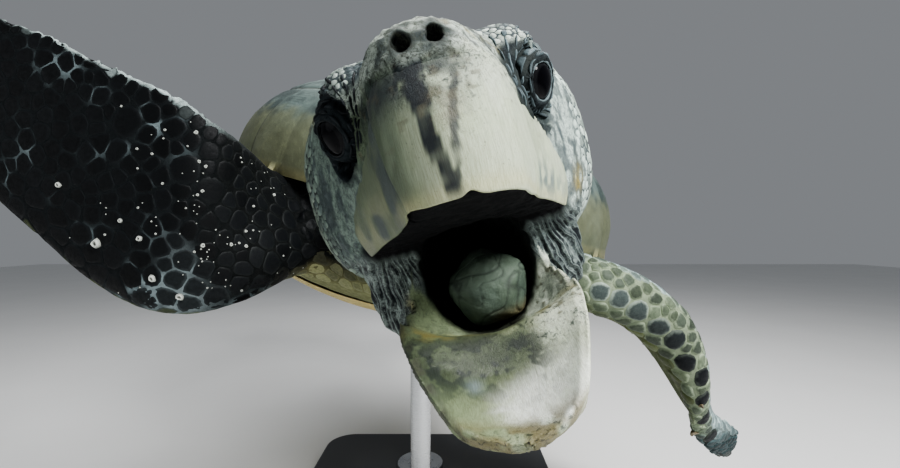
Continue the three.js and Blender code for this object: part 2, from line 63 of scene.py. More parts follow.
def profile(*pairs):
    """A smooth curve through (place, value) pairs that never swings past them."""
    places, values = np.array(pairs, float).T
    secants = np.diff(values) / np.diff(places)
    slopes = np.concatenate([secants[:1], np.zeros(len(places) - 2), secants[-1:]])
    before, after = secants[:-1], secants[1:]
    same = before * after > 0
    slopes[1:-1][same] = (2 * before * after)[same] / (before + after)[same]

    def at(place):
        place = np.clip(place, places[0], places[-1])
        i = np.clip(np.searchsorted(places, place, side="right") - 1, 0, len(places) - 2)
        run = places[i + 1] - places[i]
        t = (place - places[i]) / run
        bend = run * (slopes[i] * (1 - t) ** 2 * t - slopes[i + 1] * (1 - t) * t**2)
        return values[i] + (values[i + 1] - values[i]) * t * t * (3 - 2 * t) + bend

    return at


def opening(distance, rounding):
    """How far a rounded end has opened at a distance from its pole: 0 at the pole, 1 past the rounding."""
    left = np.clip(1 - distance / rounding, 0, 1)
    return np.sqrt(1 - left * left)


def smoothstep(low, high, value):
    t = np.clip((value - low) / (high - low), 0, 1)
    return t * t * (3 - 2 * t)


def bump(value, centre, half_width):
    """1 at the centre, falling off like a bell."""
    return np.exp(-(((value - centre) / half_width) ** 2))


def soft_min(a, b, blend):
    h = np.clip(0.5 + 0.5 * (b - a) / blend, 0, 1)
    return b + (a - b) * h - blend * h * (1 - h)


def soft_max(a, b, blend):
    return -soft_min(-a, -b, blend)


def squared(value, squareness):
    return np.sign(value) * np.abs(value) ** (2 / squareness)


def hashed(cells, seed):
    """A number from 0 to 1 for each whole-numbered cell."""
    x, y, z = (cells[:, k].astype(np.uint32) for k in range(3))
    h = x * np.uint32(73856093) ^ y * np.uint32(19349663) ^ z * np.uint32(83492791)
    h ^= np.uint32(seed * 2654435761 % 2**32)
    h = (h ^ (h >> np.uint32(13))) * np.uint32(1274126177)
    h = (h ^ (h >> np.uint32(16))) * np.uint32(2246822519)
    return ((h ^ (h >> np.uint32(15))) & np.uint32(0xFFFFFF)).astype(float) / 0xFFFFFF


def noise(points, cell, seed=0):
    """Smooth noise from -1 to 1 with blobs of about the size of a cell; a cell may have three sizes."""
    q = points / np.asarray(cell, float)
    low = np.floor(q)
    t = q - low
    t = t * t * (3 - 2 * t)
    total = np.zeros(len(points))
    for corner in itertools.product((0, 1), repeat=3):
        weight = np.prod(np.where(corner, t, 1 - t), axis=1)
        total += weight * hashed((low + corner).astype(np.int64), seed)
    return 2 * total - 1


def unit(vectors):
    return vectors / np.maximum(np.linalg.norm(vectors, axis=-1, keepdims=True), 1e-9)


def angles_round(count):
    """Angles spread evenly over a full turn."""
    return np.arange(count) * TURN / count


def tree_of(points):
    tree = KDTree(len(points))
    for i, point in enumerate(points):
        tree.insert(point, i)
    tree.balance()
    return tree


class Place:
    """A frame that stands somewhere in the turtle's own, turned by yaw, roll and pitch."""

    def __init__(self, at, yaw, roll, pitch):
        yaw, roll, pitch = (math.radians(a) for a in (yaw, roll, pitch))
        about_z = [[math.cos(yaw), -math.sin(yaw), 0], [math.sin(yaw), math.cos(yaw), 0], [0, 0, 1]]
        about_y = [[math.cos(roll), 0, math.sin(roll)], [0, 1, 0], [-math.sin(roll), 0, math.cos(roll)]]
        about_x = [[1, 0, 0], [0, math.cos(pitch), -math.sin(pitch)], [0, math.sin(pitch), math.cos(pitch)]]
        self.at = np.array(at, float)
        self.turn = np.array(about_z) @ np.array(about_y) @ np.array(about_x)

    def inside(self, world):
        return (world - self.at) @ self.turn

    def outside(self, local):
        return local @ self.turn.T + self.at


# ---------------------------------------------------------------- the animal's dimensions

HEAD = Place((46, -608, 532), yaw=-0.5, roll=-15.1, pitch=1.9)
SHELL = Place((-4, 68, 579), yaw=6.5, roll=14.5, pitch=4.6)

SKULL_FRONT, SKULL_BACK = -2.5, 232
NOSE_HEIGHT, NOSE_ROUND, NAPE_ROUND, SKULL_SQUARENESS = 16, 15, 60, 2.7
skull_width = profile(
    (0, 15), (8, 22), (28, 30), (45, 36), (60, 44), (94, 62), (120, 79), (160, 96), (232, 82)
)
skull_top = profile((0, 47), (8, 62), (20, 72), (50, 79), (94, 91), (140, 102), (190, 98), (232, 84))
skull_waist = profile((0, 20), (28, 26), (60, 30), (150, 26), (232, 16))
skull_bottom = profile((0, -22), (28, -26), (94, -42), (150, -45), (232, -42))
TOMIUM = [(-60, 1), (0, 1), (10, 0), (24, -3), (60, -8), (94, -14)]
MOUTH_CORNER = [(110, -26), (112, -38), (100, -50), (70, -66), (26, -108), (-60, -190)]
BEAK_BACK = [
    (-60, 49), (8, 48), (22, 49), (35, 43), (52, 34), (63, 27),
    (77, 20), (90, 12), (98, 2), (100, -10), (98, -80),
]  # fmt: skip
HORN_OUTLINE = [*BEAK_BACK, (-60, -80)]

JAW_HINGE, GAPE = (165, -20), math.radians(33.7)
JAW_FRONT, JAW_BACK, JAW_TIP_ROUND, JAW_HEEL_ROUND = 7, 172, 16, 45
JAW_TIP_HEIGHT, JAW_HEEL_HEIGHT, JAW_SQUARENESS = -15, -38, 2.3
JAW_EDGE, JAW_BEVEL = 5, 2.5
jaw_width = profile(
    (3, 22), (20, 30), (40, 39), (61, 46), (78, 49), (90, 47), (104, 41), (122, 35), (168, 34)
)
jaw_rim = profile((3, -11), (30, -6), (61, -2), (94, -4), (130, -14), (168, -30))
jaw_floor = profile((3, -13), (20, -19), (45, -21), (68, -14), (84, -30), (130, -44), (168, -50))
jaw_under = profile((3, -20), (20, -30), (61, -46), (111, -52), (168, -60))
CHIN_HORN = [(-60, 40), (90, 40), (84, -16), (62, -44), (40, -64), (40, -120), (-60, -120)]

THROAT, THROAT_SIZE = (0, 168, -42), (68, 56, 44)
MOUTH_WEB, MOUTH_WEB_SIZE = (38, 130, -40), (30, 20, 36)
MOUTH, MOUTH_SIZE = (1, 118, -35), (33.5, 60, 41)
TONGUE, TONGUE_SIZE = (5, 122, -51), (25, 25, 24)
EYE, EYE_RADIUS = (45, 80, 53), 15.5
ORBIT, ORBIT_SIZE = (38, 84, 53), (22, 32, 30)
GAZE, LID_THICKNESS, LID_OPENING = (0.72, -0.61, -0.33), 1.7, (10.6, 9.4)
SOCKET_SHIFT, SOCKET_SIZE = (10, 5, -3), (14, 21, 21)
NOSTRILS, NOSTRIL_SPREAD, NOSTRIL_SIZE = (-2, 9.5, 60.5), 6.3, (2.5, 7, 3.9)
SNOUT_SHIFT = 3

HALF_WIDTH, AHEAD, BEHIND = 323, 335, 525
FRONT_SQUARENESS, REAR_SQUARENESS = 2, 1.75
DOME_HEIGHT, DOME_SQUARENESS, DOME_FULLNESS = 185, 2.3, 0.45
SHELL_THICKNESS, RIM_THINNING, RIM_DROP, INNER_REACH = 13, 0.4, 7, 0.97
NUCHAL_NOTCH, NUCHAL_HALF_WIDTH = 14, 90
UNDER_DEPTH, UNDER_SQUARENESS, UNDER_FULLNESS = 165, 5, 0.4
PLASTRON_THICKNESS, PLASTRON_EDGE, PLASTRON_REACH = 11, 8, 0.72
BRIDGE_REACH, BRIDGE_RUN = 0.2, 120
TRUNK_REACH = 0.95

# Stations along each limb: its middle, the way to its leading edge, its chord and its thickness.
FRONT_RIGHT = [
    ((-110, -110, 520), (0.2, -0.4, -0.9), 120, 92),
    ((-150, -190, 532), (0.1, -0.4, -0.92), 132, 88),
    ((-180, -268, 522), (-0.1, -0.35, -0.93), 160, 80),
    ((-212, -318, 532), (-0.36, 0.0, -0.93), 188, 58),
    ((-262, -326, 560), (-0.42, 0.12, -0.9), 204, 42),
    ((-326, -326, 601), (-0.48, 0.15, -0.87), 184, 36),
    ((-400, -322, 650), (-0.52, 0.15, -0.84), 160, 28),
    ((-466, -318, 690), (-0.5, 0.15, -0.85), 134, 20),
    ((-530, -312, 726), (-0.42, 0.15, -0.9), 90, 13),
]
FRONT_LEFT = [
    ((120, -60, 462), (0.1, -0.95, 0.1), 116, 92),
    ((180, -118, 460), (-0.05, -0.98, 0.12), 126, 90),
    ((236, -140, 448), (-0.2, -0.96, 0.12), 138, 86),
    ((295, -132, 422), (-0.32, -0.92, 0.2), 156, 84),
    ((343, -116, 378), (-0.21, -0.87, 0.3), 162, 78),
    ((380, -98, 323), (-0.2, -0.83, 0.32), 154, 60),
    ((411, -80, 264), (-0.34, -0.82, 0.34), 140, 40),
    ((468, -40, 200), (-0.9, -0.54, 0.15), 118, 22),
    ((528, 40, 122), (-0.92, -0.5, 0.15), 84, 12),
]
HIND = [
    ((120, 330, -70), (0.95, -0.3, 0), 120, 70),
    ((178, 420, -78), (0.95, -0.3, 0), 112, 58),
    ((226, 505, -86), (0.95, -0.3, -0.05), 124, 36),
    ((262, 590, -94), (0.95, -0.3, -0.1), 140, 24),
    ((286, 665, -102), (0.95, -0.25, -0.1), 112, 15),
]
TAIL = [
    ((0, 400, -76), (1, 0, 0), 104, 72),
    ((0, 480, -84), (1, 0, 0), 82, 56),
    ((4, 560, -94), (1, 0, 0), 52, 38),
    ((10, 628, -104), (1, 0, 0), 20, 16),
]
NECK = [
    ((40, -455, 545), (1, 0, 0.26), 158, 126),
    ((32, -380, 545), (1, 0, 0.14), 168, 130),
    ((22, -300, 541), (1, 0, 0), 182, 138),
    ((12, -210, 538), (1, 0, -0.12), 204, 148),
    ((4, -110, 540), (1, 0, -0.25), 214, 150),
]


# ---------------------------------------------------------------- distances to the flesh's surface


def steady(raw, step=0.5):
    """Turns a rough measure of distance into millimetres by dividing it by its own slope."""

    def distance(points):
        here = raw(points)
        slope = np.zeros(len(points))
        for axis in range(3):
            moved = points.copy()
            moved[:, axis] += step
            slope += ((raw(moved) - here) / step) ** 2
        return here / np.clip(np.sqrt(slope), 1e-3, 1e3)

    return distance


def ellipsoid(points, at, size):
    q = (points - at) / size
    length = np.linalg.norm(q, axis=1)
    slope = np.linalg.norm(q / size, axis=1) / np.maximum(length, 1e-6)
    return (length - 1) / np.maximum(slope, 1e-6)


def polygon(run, height, outline):
    """Signed distance to an outline of (run, height) points, negative inside."""
    corners = np.array(outline, float)
    nearest = np.full(len(run), 1e9)
    inside = np.zeros(len(run), bool)
    for (ay, az), (by, bz) in zip(corners, np.roll(corners, -1, axis=0)):
        along = ((run - ay) * (by - ay) + (height - az) * (bz - az)) / ((by - ay) ** 2 + (bz - az) ** 2)
        along = np.clip(along, 0, 1)
        nearest = np.minimum(nearest, np.hypot(run - ay - along * (by - ay), height - az - along * (bz - az)))
        crosses = (az > height) != (bz > height)
        if az != bz:
            inside ^= crosses & (run < (by - ay) * (height - az) / (bz - az) + ay)
    return np.where(inside, -nearest, nearest)


def skull_measure(points):
    x, y, z = points.T
    nose = opening(y - SKULL_FRONT, NOSE_ROUND)
    wide = nose * opening(SKULL_BACK - y, NAPE_ROUND)
    waist = NOSE_HEIGHT + (skull_waist(y) - NOSE_HEIGHT) * nose
    reach = np.where(z > waist, skull_top(y) - waist, waist - skull_bottom(y))
    u = np.abs(x) / np.maximum(skull_width(y) * wide, 0.3)
    v = np.abs(z - waist) / np.maximum(reach * wide, 0.3)
    section = (u**SKULL_SQUARENESS + v**SKULL_SQUARENESS) ** (1 / SKULL_SQUARENESS) - 1
    beyond = np.maximum(SKULL_FRONT - y, y - SKULL_BACK)
    return np.maximum(section, beyond / 20)


skull = steady(skull_measure)


def shut(points):
    """Points of the head's frame turned up with the lower jaw, to where the beak would be shut."""
    x, y, z = points.T
    y, z = y - JAW_HINGE[0], z - JAW_HINGE[1]
    cos, sin = math.cos(GAPE), math.sin(GAPE)
    return np.stack([x, y * cos + z * sin + JAW_HINGE[0], -y * sin + z * cos + JAW_HINGE[1]], axis=1)


def chin_distance(closed):
    """Signed distance, seen from the side, to the part of the shut jaw that the horn covers."""
    return polygon(closed[:, 1], closed[:, 2], CHIN_HORN)


def jaw_measure(points):
    x, y, z = points.T
    wide = opening(y - JAW_FRONT, JAW_TIP_ROUND) * opening(JAW_BACK - y, JAW_HEEL_ROUND)
    end = np.where(y < (JAW_FRONT + JAW_BACK) / 2, JAW_TIP_HEIGHT, JAW_HEEL_HEIGHT)
    rim = end + (jaw_rim(y) - end) * wide
    half = np.maximum(jaw_width(y) * wide, 0.3)
    across = np.sqrt(np.clip(1 - (np.abs(x) / half) ** JAW_SQUARENESS, 0, 1)) * wide
    bowl = np.clip(1 - (np.abs(x) / half) ** 2, 0, 1) ** 0.85 * wide
    top = rim - (rim - jaw_floor(y)) * bowl - JAW_BEVEL * smoothstep(0.86, 1, np.abs(x) / half) ** 2
    under = rim - JAW_EDGE - (rim - JAW_EDGE - jaw_under(y)) * across
    beyond = np.maximum(np.maximum(JAW_FRONT - y, y - JAW_BACK), np.abs(x) - half)
    return soft_max(soft_max(z - top, under - z, 3.5), beyond, 1.5)


jaw = steady(jaw_measure)


def jaw_lining(closed):
    """Above 0 on the inner side of the lower jaw, below 0 on its outer side."""
    x, y, z = closed.T
    across = np.sqrt(np.clip(1 - (np.abs(x) / np.maximum(jaw_width(y), 1)) ** JAW_SQUARENESS, 0, 1))
    edge = jaw_rim(y) - 0.5 * JAW_EDGE
    middle = edge - (edge - 0.5 * (jaw_floor(y) + jaw_under(y))) * across
    return np.where(np.abs(x) < jaw_width(y) + 2, z - middle, -20)


def curve(points, t):
    """A centripetal Catmull-Rom curve through the points, t from 0 to 1."""
    points = np.array(points, float)
    count = len(points)
    points = np.vstack([2 * points[0] - points[1], points, 2 * points[-1] - points[-2]])
    spot = np.clip(t, 0, 1) * (count - 1)
    i = np.minimum(spot.astype(int), count - 2)
    w = (spot - i)[:, None]
    a, b, c, d = (points[i + k] for k in range(4))
    ab, bc, cd = (np.sqrt(np.linalg.norm(v - u, axis=1, keepdims=True)) for u, v in ((a, b), (b, c), (c, d)))
    bc = np.where(bc < 1e-4, 1, bc)
    ab, cd = np.where(ab < 1e-4, bc, ab), np.where(cd < 1e-4, bc, cd)
    start = ((b - a) / ab - (c - a) / (ab + bc) + (c - b) / bc) * bc
    end = ((c - b) / bc - (d - b) / (bc + cd) + (d - c) / cd) * bc
    return b + start * w + (3 * (c - b) - 2 * start - end) * w**2 + (2 * (b - c) + start + end) * w**3


class Limb:
    """A rounded sheet through its stations, thicker along its leading edge, with rounded ends."""

    def __init__(self, stations, place=None, tip_round=0.16, trailing=0.4, squareness=2.3):
        self.t = np.linspace(0, 1, 129)
        self.at = curve([s[0] for s in stations], self.t)
        self.lead = unit(curve([s[1] for s in stations], self.t))
        size = curve([(s[2] / 2, s[3] / 2, 0) for s in stations], self.t)
        self.half_chord, self.half_thick = size[:, 0], size[:, 1]
        forward = np.gradient(self.at, self.t, axis=0)
        self.normal = unit(np.cross(unit(forward), self.lead))
        self.facing = unit(np.cross(self.lead, self.normal))
        self.pace = (forward * self.facing).sum(1)
        self.place, self.tip_round, self.trailing, self.squareness = place, tip_round, trailing, squareness
        reach = (self.half_chord.max() + 30) * np.ones(3)
        low, high = self.at.min(0) - reach, self.at.max(0) + reach
        corners = np.array(list(itertools.product(*zip(low, high))))
        world = corners if place is None else place.outside(corners)
        self.low, self.high = world.min(0), world.max(0)

    def at_t(self, values, t):
        if values.ndim == 1:
            return np.interp(t, self.t, values)
        return np.stack([np.interp(t, self.t, values[:, k]) for k in range(3)], axis=1)

    def coordinates(self, world):
        """How far along the limb, across to its leading edge, out of its sheet, and past its ends."""
        p = world if self.place is None else self.place.inside(world)
        every, block = 4, 50000
        coarse = self.at[::every]
        t = np.empty(len(p))
        for start in range(0, len(p), block):
            part = p[start : start + block]
            square = (part**2).sum(1)[:, None] + (coarse**2).sum(1) - 2 * part @ coarse.T
            t[start : start + block] = self.t[::every][square.argmin(1)]
        for _ in range(4):
            offset = ((p - self.at_t(self.at, t)) * self.at_t(self.facing, t)).sum(1)
            step = offset / self.at_t(self.pace, t)
            t = np.clip(t + 0.8 * step, 0, 1)
        away = p - self.at_t(self.at, t)
        across = (away * self.at_t(self.lead, t)).sum(1)
        out = (away * self.at_t(self.normal, t)).sum(1)
        over = np.abs((away * self.at_t(self.facing, t)).sum(1))
        return t, across, out, np.where((t <= 0) | (t >= 1), over, 0)

    def __call__(self, world):
        t, across, out, over = self.coordinates(world)
        open_ = np.maximum(opening(t, 0.05) * opening(1 - t, self.tip_round), 0.03)
        half = self.at_t(self.half_chord, t) * open_
        u = across / half
        taper = self.trailing + (1 - self.trailing) * np.clip((1 + u) / 2, 0, 1) ** 0.7
        thick = self.at_t(self.half_thick, t) * open_ * taper
        v = out / thick
        n = self.squareness
        s = np.maximum((np.abs(u) ** n + np.abs(v) ** n) ** (1 / n), 0.05)
        slope = np.hypot(np.abs(u) ** (n - 1) / half, np.abs(v) ** (n - 1) / thick) * s ** (1 - n)
        near = (s - 1) / np.maximum(slope, 1 / half)
        return np.where(over > 0.5, np.hypot(np.maximum(near, 0), over), near)


def plan_reach(x, y):
    """0 at the middle of the shell, 1 at its rim."""
    squareness = np.where(y < 0, FRONT_SQUARENESS, REAR_SQUARENESS)
    run = np.where(y < 0, AHEAD, BEHIND)
    return ((np.abs(x) / HALF_WIDTH) ** squareness + (np.abs(y) / run) ** squareness) ** (1 / squareness)


def dome(reach):
    return DOME_HEIGHT * np.maximum(0, 1 - reach**DOME_SQUARENESS) ** DOME_FULLNESS


def belly(reach):
    return UNDER_DEPTH * np.maximum(0, 1 - reach**UNDER_SQUARENESS) ** UNDER_FULLNESS


def carapace_underside(reach):
    return dome(reach / INNER_REACH) - SHELL_THICKNESS * (1 - RIM_THINNING * reach) - RIM_DROP * reach


def trunk_measure(points):
    x, y, z = points.T
    reach = plan_reach(x, y)
    top = np.maximum(dome(reach / INNER_REACH) - 26, -14)
    bottom = -np.maximum(18, belly(reach) - 3)
    return np.maximum(np.maximum(z - top, bottom - z), (reach - TRUNK_REACH) * 280)


trunk = steady(trunk_measure, 1.0)


def shell_measure(points):
    """The carapace and the plastron as solids."""
    x, y, z = points.T
    notch = np.where(y < 0, NUCHAL_NOTCH * np.exp(-((x / NUCHAL_HALF_WIDTH) ** 2)), 0)
    reach = plan_reach(x, y - notch)
    above = np.maximum(np.maximum(z - dome(reach), carapace_underside(reach) - z), (reach - 1) * 280)
    edge = PLASTRON_REACH + BRIDGE_REACH * np.exp(-((y / BRIDGE_RUN) ** 2))
    floor = -belly(reach)
    below = np.maximum(np.maximum(z - floor, floor - PLASTRON_THICKNESS - z), (reach - edge) * 280)
    return np.minimum(above, below)


shell_solids = steady(shell_measure, 1.0)


# ---------------------------------------------------------------- the skin's own shape

LIMBS = {
    "neck": (Limb(NECK, tip_round=0.1, trailing=1, squareness=2), 20),
    "front_right": (Limb(FRONT_RIGHT), 22),
    "front_left": (Limb(FRONT_LEFT), 22),
    "hind_left": (Limb(HIND, SHELL), 18),
    "hind_right": (
        Limb([((-a[0], a[1], a[2]), (-b[0], b[1], b[2]), c, d) for a, b, c, d in HIND], SHELL),
        18,
    ),
    "tail": (Limb(TAIL, SHELL, tip_round=0.12, trailing=1, squareness=2), 15),
}
HEAD_LOW, HEAD_HIGH = np.array([-125, -25, -150]), np.array([125, 265, 130])
TRUNK_MIDDLE, TRUNK_HALF = np.array([0, 95, -10]), np.array([360, 480, 240])
FAR = 60.0
HORN_BED, CHIN_BED = 2.2, 3.0


def eye_axes(side):
    """An eye's middle, its gaze, and the ways across to the bill and up, in the head's frame."""
    gaze = unit(np.array([side * GAZE[0], GAZE[1], GAZE[2]]))
    up = unit(np.array([0, 0, 1]) - gaze[2] * gaze)
    return np.array([side * EYE[0], EYE[1], EYE[2]]), gaze, -side * np.cross(up, gaze), up


def eye_frame(points, side):
    """Points seen from an eye: to its front, to its bill side and upwards."""
    middle, *axes = eye_axes(side)
    from_eye = points - middle
    return np.stack([from_eye @ axis for axis in axes], axis=1)


def head_flesh(points):
    """Skull, brows, lids and lower jaw, with the flesh let in under the horn."""
    x, y, z = points.T
    bed = smoothstep(1.5, -6, polygon(y, z, HORN_OUTLINE)) * HORN_BED
    shift = SNOUT_SHIFT * smoothstep(45, 20, y) * smoothstep(46, 60, z)
    flesh = skull(points + np.stack([shift, 0 * x, 0 * x], axis=1)) + bed
    for side in (1, -1):
        at = (side * ORBIT[0], ORBIT[1], ORBIT[2])
        flesh = soft_min(flesh, ellipsoid(points, at, ORBIT_SIZE), 7)
        seen = eye_frame(points, side)
        flesh = soft_max(flesh, -ellipsoid(seen, SOCKET_SHIFT, SOCKET_SIZE), 3)
        lids = np.linalg.norm(seen, axis=1) - EYE_RADIUS - LID_THICKNESS
        flesh = soft_min(flesh, lids, 2.5)
    flesh = soft_min(flesh, ellipsoid(points, THROAT, THROAT_SIZE), 12)
    gape = polygon(y, z, TOMIUM + MOUTH_CORNER)
    flesh = soft_max(flesh, -gape, 4)
    web = ellipsoid(np.stack([np.abs(x), y, z], axis=1), MOUTH_WEB, MOUTH_WEB_SIZE)
    flesh = soft_min(flesh, web, 8)
    closed = shut(points)
    chin = smoothstep(1.5, -4, chin_distance(closed)) * CHIN_BED
    return soft_min(flesh, jaw(closed) + chin, 5)


def head_hollows(points):
    """The throat, the openings between the lids and the nostrils, negative inside."""
    hollow = ellipsoid(points, MOUTH, MOUTH_SIZE)
    for side in (1, -1):
        seen = eye_frame(points, side)
        across = np.hypot(seen[:, 1] / LID_OPENING[0], seen[:, 2] / LID_OPENING[1])
        under_lids = np.maximum(EYE_RADIUS - 3 - np.linalg.norm(seen, axis=1), -seen[:, 0])
        hollow = np.minimum(hollow, np.maximum((across - 1) * LID_OPENING[1], under_lids))
        nostril = (NOSTRILS[0] + side * NOSTRIL_SPREAD, NOSTRILS[1], NOSTRILS[2])
        hollow = np.minimum(hollow, ellipsoid(points, nostril, NOSTRIL_SIZE) + 0.7 * noise(points, 3.5, 60))
    return hollow


def skin(world):
    """Signed distance in millimetres to the surface of all the flesh as one."""
    distance = np.full(len(world), FAR)
    local = HEAD.inside(world)
    near_head = ((local > HEAD_LOW) & (local < HEAD_HIGH)).all(1)
    body = SHELL.inside(world)
    near_trunk = (np.abs(body - TRUNK_MIDDLE) < TRUNK_HALF).all(1)
    distance[near_trunk] = np.minimum(distance[near_trunk], trunk(body[near_trunk]))
    for limb, blend in LIMBS.values():
        near = ((world > limb.low) & (world < limb.high)).all(1)
        if near.any():
            distance[near] = soft_min(distance[near], limb(world[near]), blend)
    if near_head.any():
        points = local[near_head]
        flesh = soft_min(distance[near_head], head_flesh(points), 14)
        distance[near_head] = soft_max(flesh, -head_hollows(points), 1.5)
    if near_trunk.any():
        distance[near_trunk] = np.maximum(distance[near_trunk], 0.6 - shell_solids(body[near_trunk]))
    return distance


def slope_of(field, points, step=0.4):
    here = field(points)
    slope = np.empty_like(points)
    for axis in range(3):
        moved = points.copy()
        moved[:, axis] += step
        slope[:, axis] = (field(moved) - here) / step
    return here, slope


def settled(field, points, rounds=2, limit=4.0):
    """The points moved onto the field's surface."""
    points = points.copy()
    for _ in range(rounds):
        here, slope = slope_of(field, points)
        square = np.maximum((slope**2).sum(1), 0.05)
        step = -(here / square)[:, None] * slope
        length = np.linalg.norm(step, axis=1, keepdims=True)
        points += step * np.minimum(1, limit / np.maximum(length, 1e-6))
    return points


# ---------------------------------------------------------------- meshes from distances


def surfaced(field, low, high, voxel, adaptivity):
    """Triangles over a field's surface in a box, sampled only near it."""
    block, at_once = 8, 400
    counts = np.ceil((high - low) / (voxel * block)).astype(int)
    starts = np.array(list(itertools.product(*(range(c) for c in counts))))
    centres = low + (starts + 0.5) * voxel * block
    values = field(centres)
    near = np.abs(values) < voxel * block * 1.6
    dense = np.empty(counts * block, np.float32)
    for (i, j, k), value in zip(starts * block, values):
        dense[i : i + block, j : j + block, k : k + block] = FAR if value > 0 else -FAR
    inner = np.array(list(itertools.product(range(block), repeat=3)))
    for start in range(0, near.sum(), at_once):
        chosen = starts[near][start : start + at_once]
        cells = (chosen[:, None, :] * block + inner).reshape(-1, 3)
        dense[tuple(cells.T)] = field(low + cells * voxel)
    grid = openvdb.FloatGrid(FAR)
    grid.copyFromArray(dense)
    points, triangles, quads = grid.convertToPolygons(0.0, adaptivity)
    faces = np.concatenate([triangles, quads[:, [0, 1, 2]], quads[:, [0, 2, 3]]]).astype(int)
    points = low + points.astype(float) * voxel
    return points, outward(points, faces)


def outward(points, faces):
    a, b, c = (points[faces[:, k]] for k in range(3))
    return faces if (a * np.cross(b, c)).sum() > 0 else faces[:, ::-1]


def edges_of(faces):
    """Each edge once, as sorted pairs, and for each face the numbers of its three edges."""
    pairs = np.sort(np.stack([faces, np.roll(faces, -1, axis=1)], axis=2).reshape(-1, 2), axis=1)
    edges, which = np.unique(pairs, axis=0, return_inverse=True)
    return edges, which.reshape(-1, 3)


def refined(points, faces, target):
    """Splits every edge that is longer than the target at its middle, and the faces to suit."""
    edges, of_face = edges_of(faces)
    middle = points[edges].mean(1)
    long = np.linalg.norm(points[edges[:, 0]] - points[edges[:, 1]], axis=1) > target(middle)
    number = np.full(len(edges), -1)
    number[long] = len(points) + np.arange(long.sum())
    points = np.vstack([points, middle[long]])
    split = number[of_face]
    cut = split >= 0
    amount = cut.sum(1)
    parts = [faces[amount == 0]]
    for turn in range(3):
        a, b, c = (faces[:, (turn + k) % 3] for k in range(3))
        ab, bc, ca = (split[:, (turn + k) % 3] for k in range(3))
        one = (amount == 1) & (ab >= 0)
        parts += [np.stack([a, ab, c], 1)[one], np.stack([ab, b, c], 1)[one]]
        two = (amount == 2) & (ca < 0)
        parts += [np.stack(t, 1)[two] for t in ([ab, b, bc], [a, ab, bc], [a, bc, c])]
    a, b, c = faces.T
    ab, bc, ca = split.T
    all_three = amount == 3
    parts += [np.stack(t, 1)[all_three] for t in ([a, ab, ca], [ab, b, bc], [ca, bc, c], [ab, bc, ca])]
    return points, np.concatenate(parts)


def relaxed(points, faces, share=0.5):
    """Each point drawn towards the middle of its neighbours."""
    edges, _ = edges_of(faces)
    count = np.bincount(edges.ravel(), minlength=len(points))[:, None]
    total = np.stack(
        [
            np.bincount(edges[:, 0], points[edges[:, 1], k], len(points))
            + np.bincount(edges[:, 1], points[edges[:, 0], k], len(points))
            for k in range(3)
        ],
        axis=1,
    )
    return points + share * (total / np.maximum(count, 1) - points)


def normals_of(points, faces):
    a, b, c = (points[faces[:, k]] for k in range(3))
    across = np.cross(b - a, c - a)
    total = np.stack(
        [np.bincount(faces.ravel(), np.repeat(across[:, k], 3), len(points)) for k in range(3)], axis=1
    )
    return unit(total)


def meshed(name, points, faces, material, body="root", smooth=True):
    """A mesh object from points in millimetres of the turtle's frame, riding on the body."""
    mesh = bpy.data.meshes.new(name)
    mesh.from_pydata((points * MM).tolist(), [], faces if isinstance(faces, list) else faces.tolist())
    if smooth:
        mesh.shade_smooth()
    else:
        mesh.shade_flat()
    mesh.materials.append(material)
    piece = bpy.data.objects.new(name, mesh)
    bpy.context.scene.collection.objects.link(piece)
    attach(piece, body)
    return piece


def painted(piece, **layers):
    """Per-vertex layers for the shaders: single numbers, vectors or colours."""
    kinds = {1: ("FLOAT", "value"), 3: ("FLOAT_VECTOR", "vector")}
    for name, values in layers.items():
        values = np.asarray(values, np.float32)
        kind, field = kinds[1 if values.ndim == 1 else values.shape[1]]
        layer = piece.data.attributes.new(name, kind, "POINT")
        layer.data.foreach_set(field, values.ravel())
    return piece


def main_part(points, faces):
    """Only what hangs together with most of the mesh."""
    label = np.arange(len(points))
    while True:
        lowest = label[faces].min(1)
        spread = label.copy()
        for corner in range(3):
            np.minimum.at(spread, faces[:, corner], lowest)
        spread = spread[spread]
        if (spread == label).all():
            break
        label = spread
    names, sizes = np.unique(label, return_counts=True)
    kept = label == names[sizes.argmax()]
    number = np.cumsum(kept) - 1
    return points[kept], number[faces[kept[faces[:, 0]]]]


def skin_target(points):
    """How long the skin's edges may be: finest on the face, coarse inside the shell."""
    local = HEAD.inside(points)
    body = SHELL.inside(points)
    target = np.full(len(points), 8.0)
    reach = plan_reach(body[:, 0], body[:, 1])
    hidden = (reach < 0.8) & (body[:, 2] > -150) & (body[:, 2] < 200)
    target[hidden] = 40
    x, y, z = local.T
    in_head = (y < 235) & (np.abs(x) < 125) & (z > -140) & (z < 125)
    target[in_head] = np.minimum(target[in_head], 4.0)
    face = in_head & (y < 150)
    target[face] = 2.0
    under_horn = face & (polygon(y, z, HORN_OUTLINE) < -4) & (z > 6)
    target[under_horn] = 7
    around_eye = face & (np.hypot(y - EYE[1], z - EYE[2]) < 30) & (np.abs(x) > 28)
    target[around_eye] = 1.4
    away, seen = to_eye(local)
    target[face & (away < 14) & (away > 7) & (seen[:, 0] > 2)] = 1.0
    snout = face & (y < 45) & (z > 42)
    target[snout] = 1.3
    corner = face & (np.abs(x) > 27) & (np.abs(x) < 80) & (np.abs(z + 42) < 44) & (np.abs(y - 112) < 20)
    target[corner] = 1.05
    return target


# The box that holds the skin, the size of its first cells, how far flat parts may be coarser, and how
# much longer than the target an edge may be.
SKIN_LOW, SKIN_HIGH = np.array([-600, -700, 40]), np.array([620, 810, 860])
SKIN_VOXEL, SKIN_ADAPTIVITY, EDGE_ALLOWANCE = 4.5, 0.4, 1.44


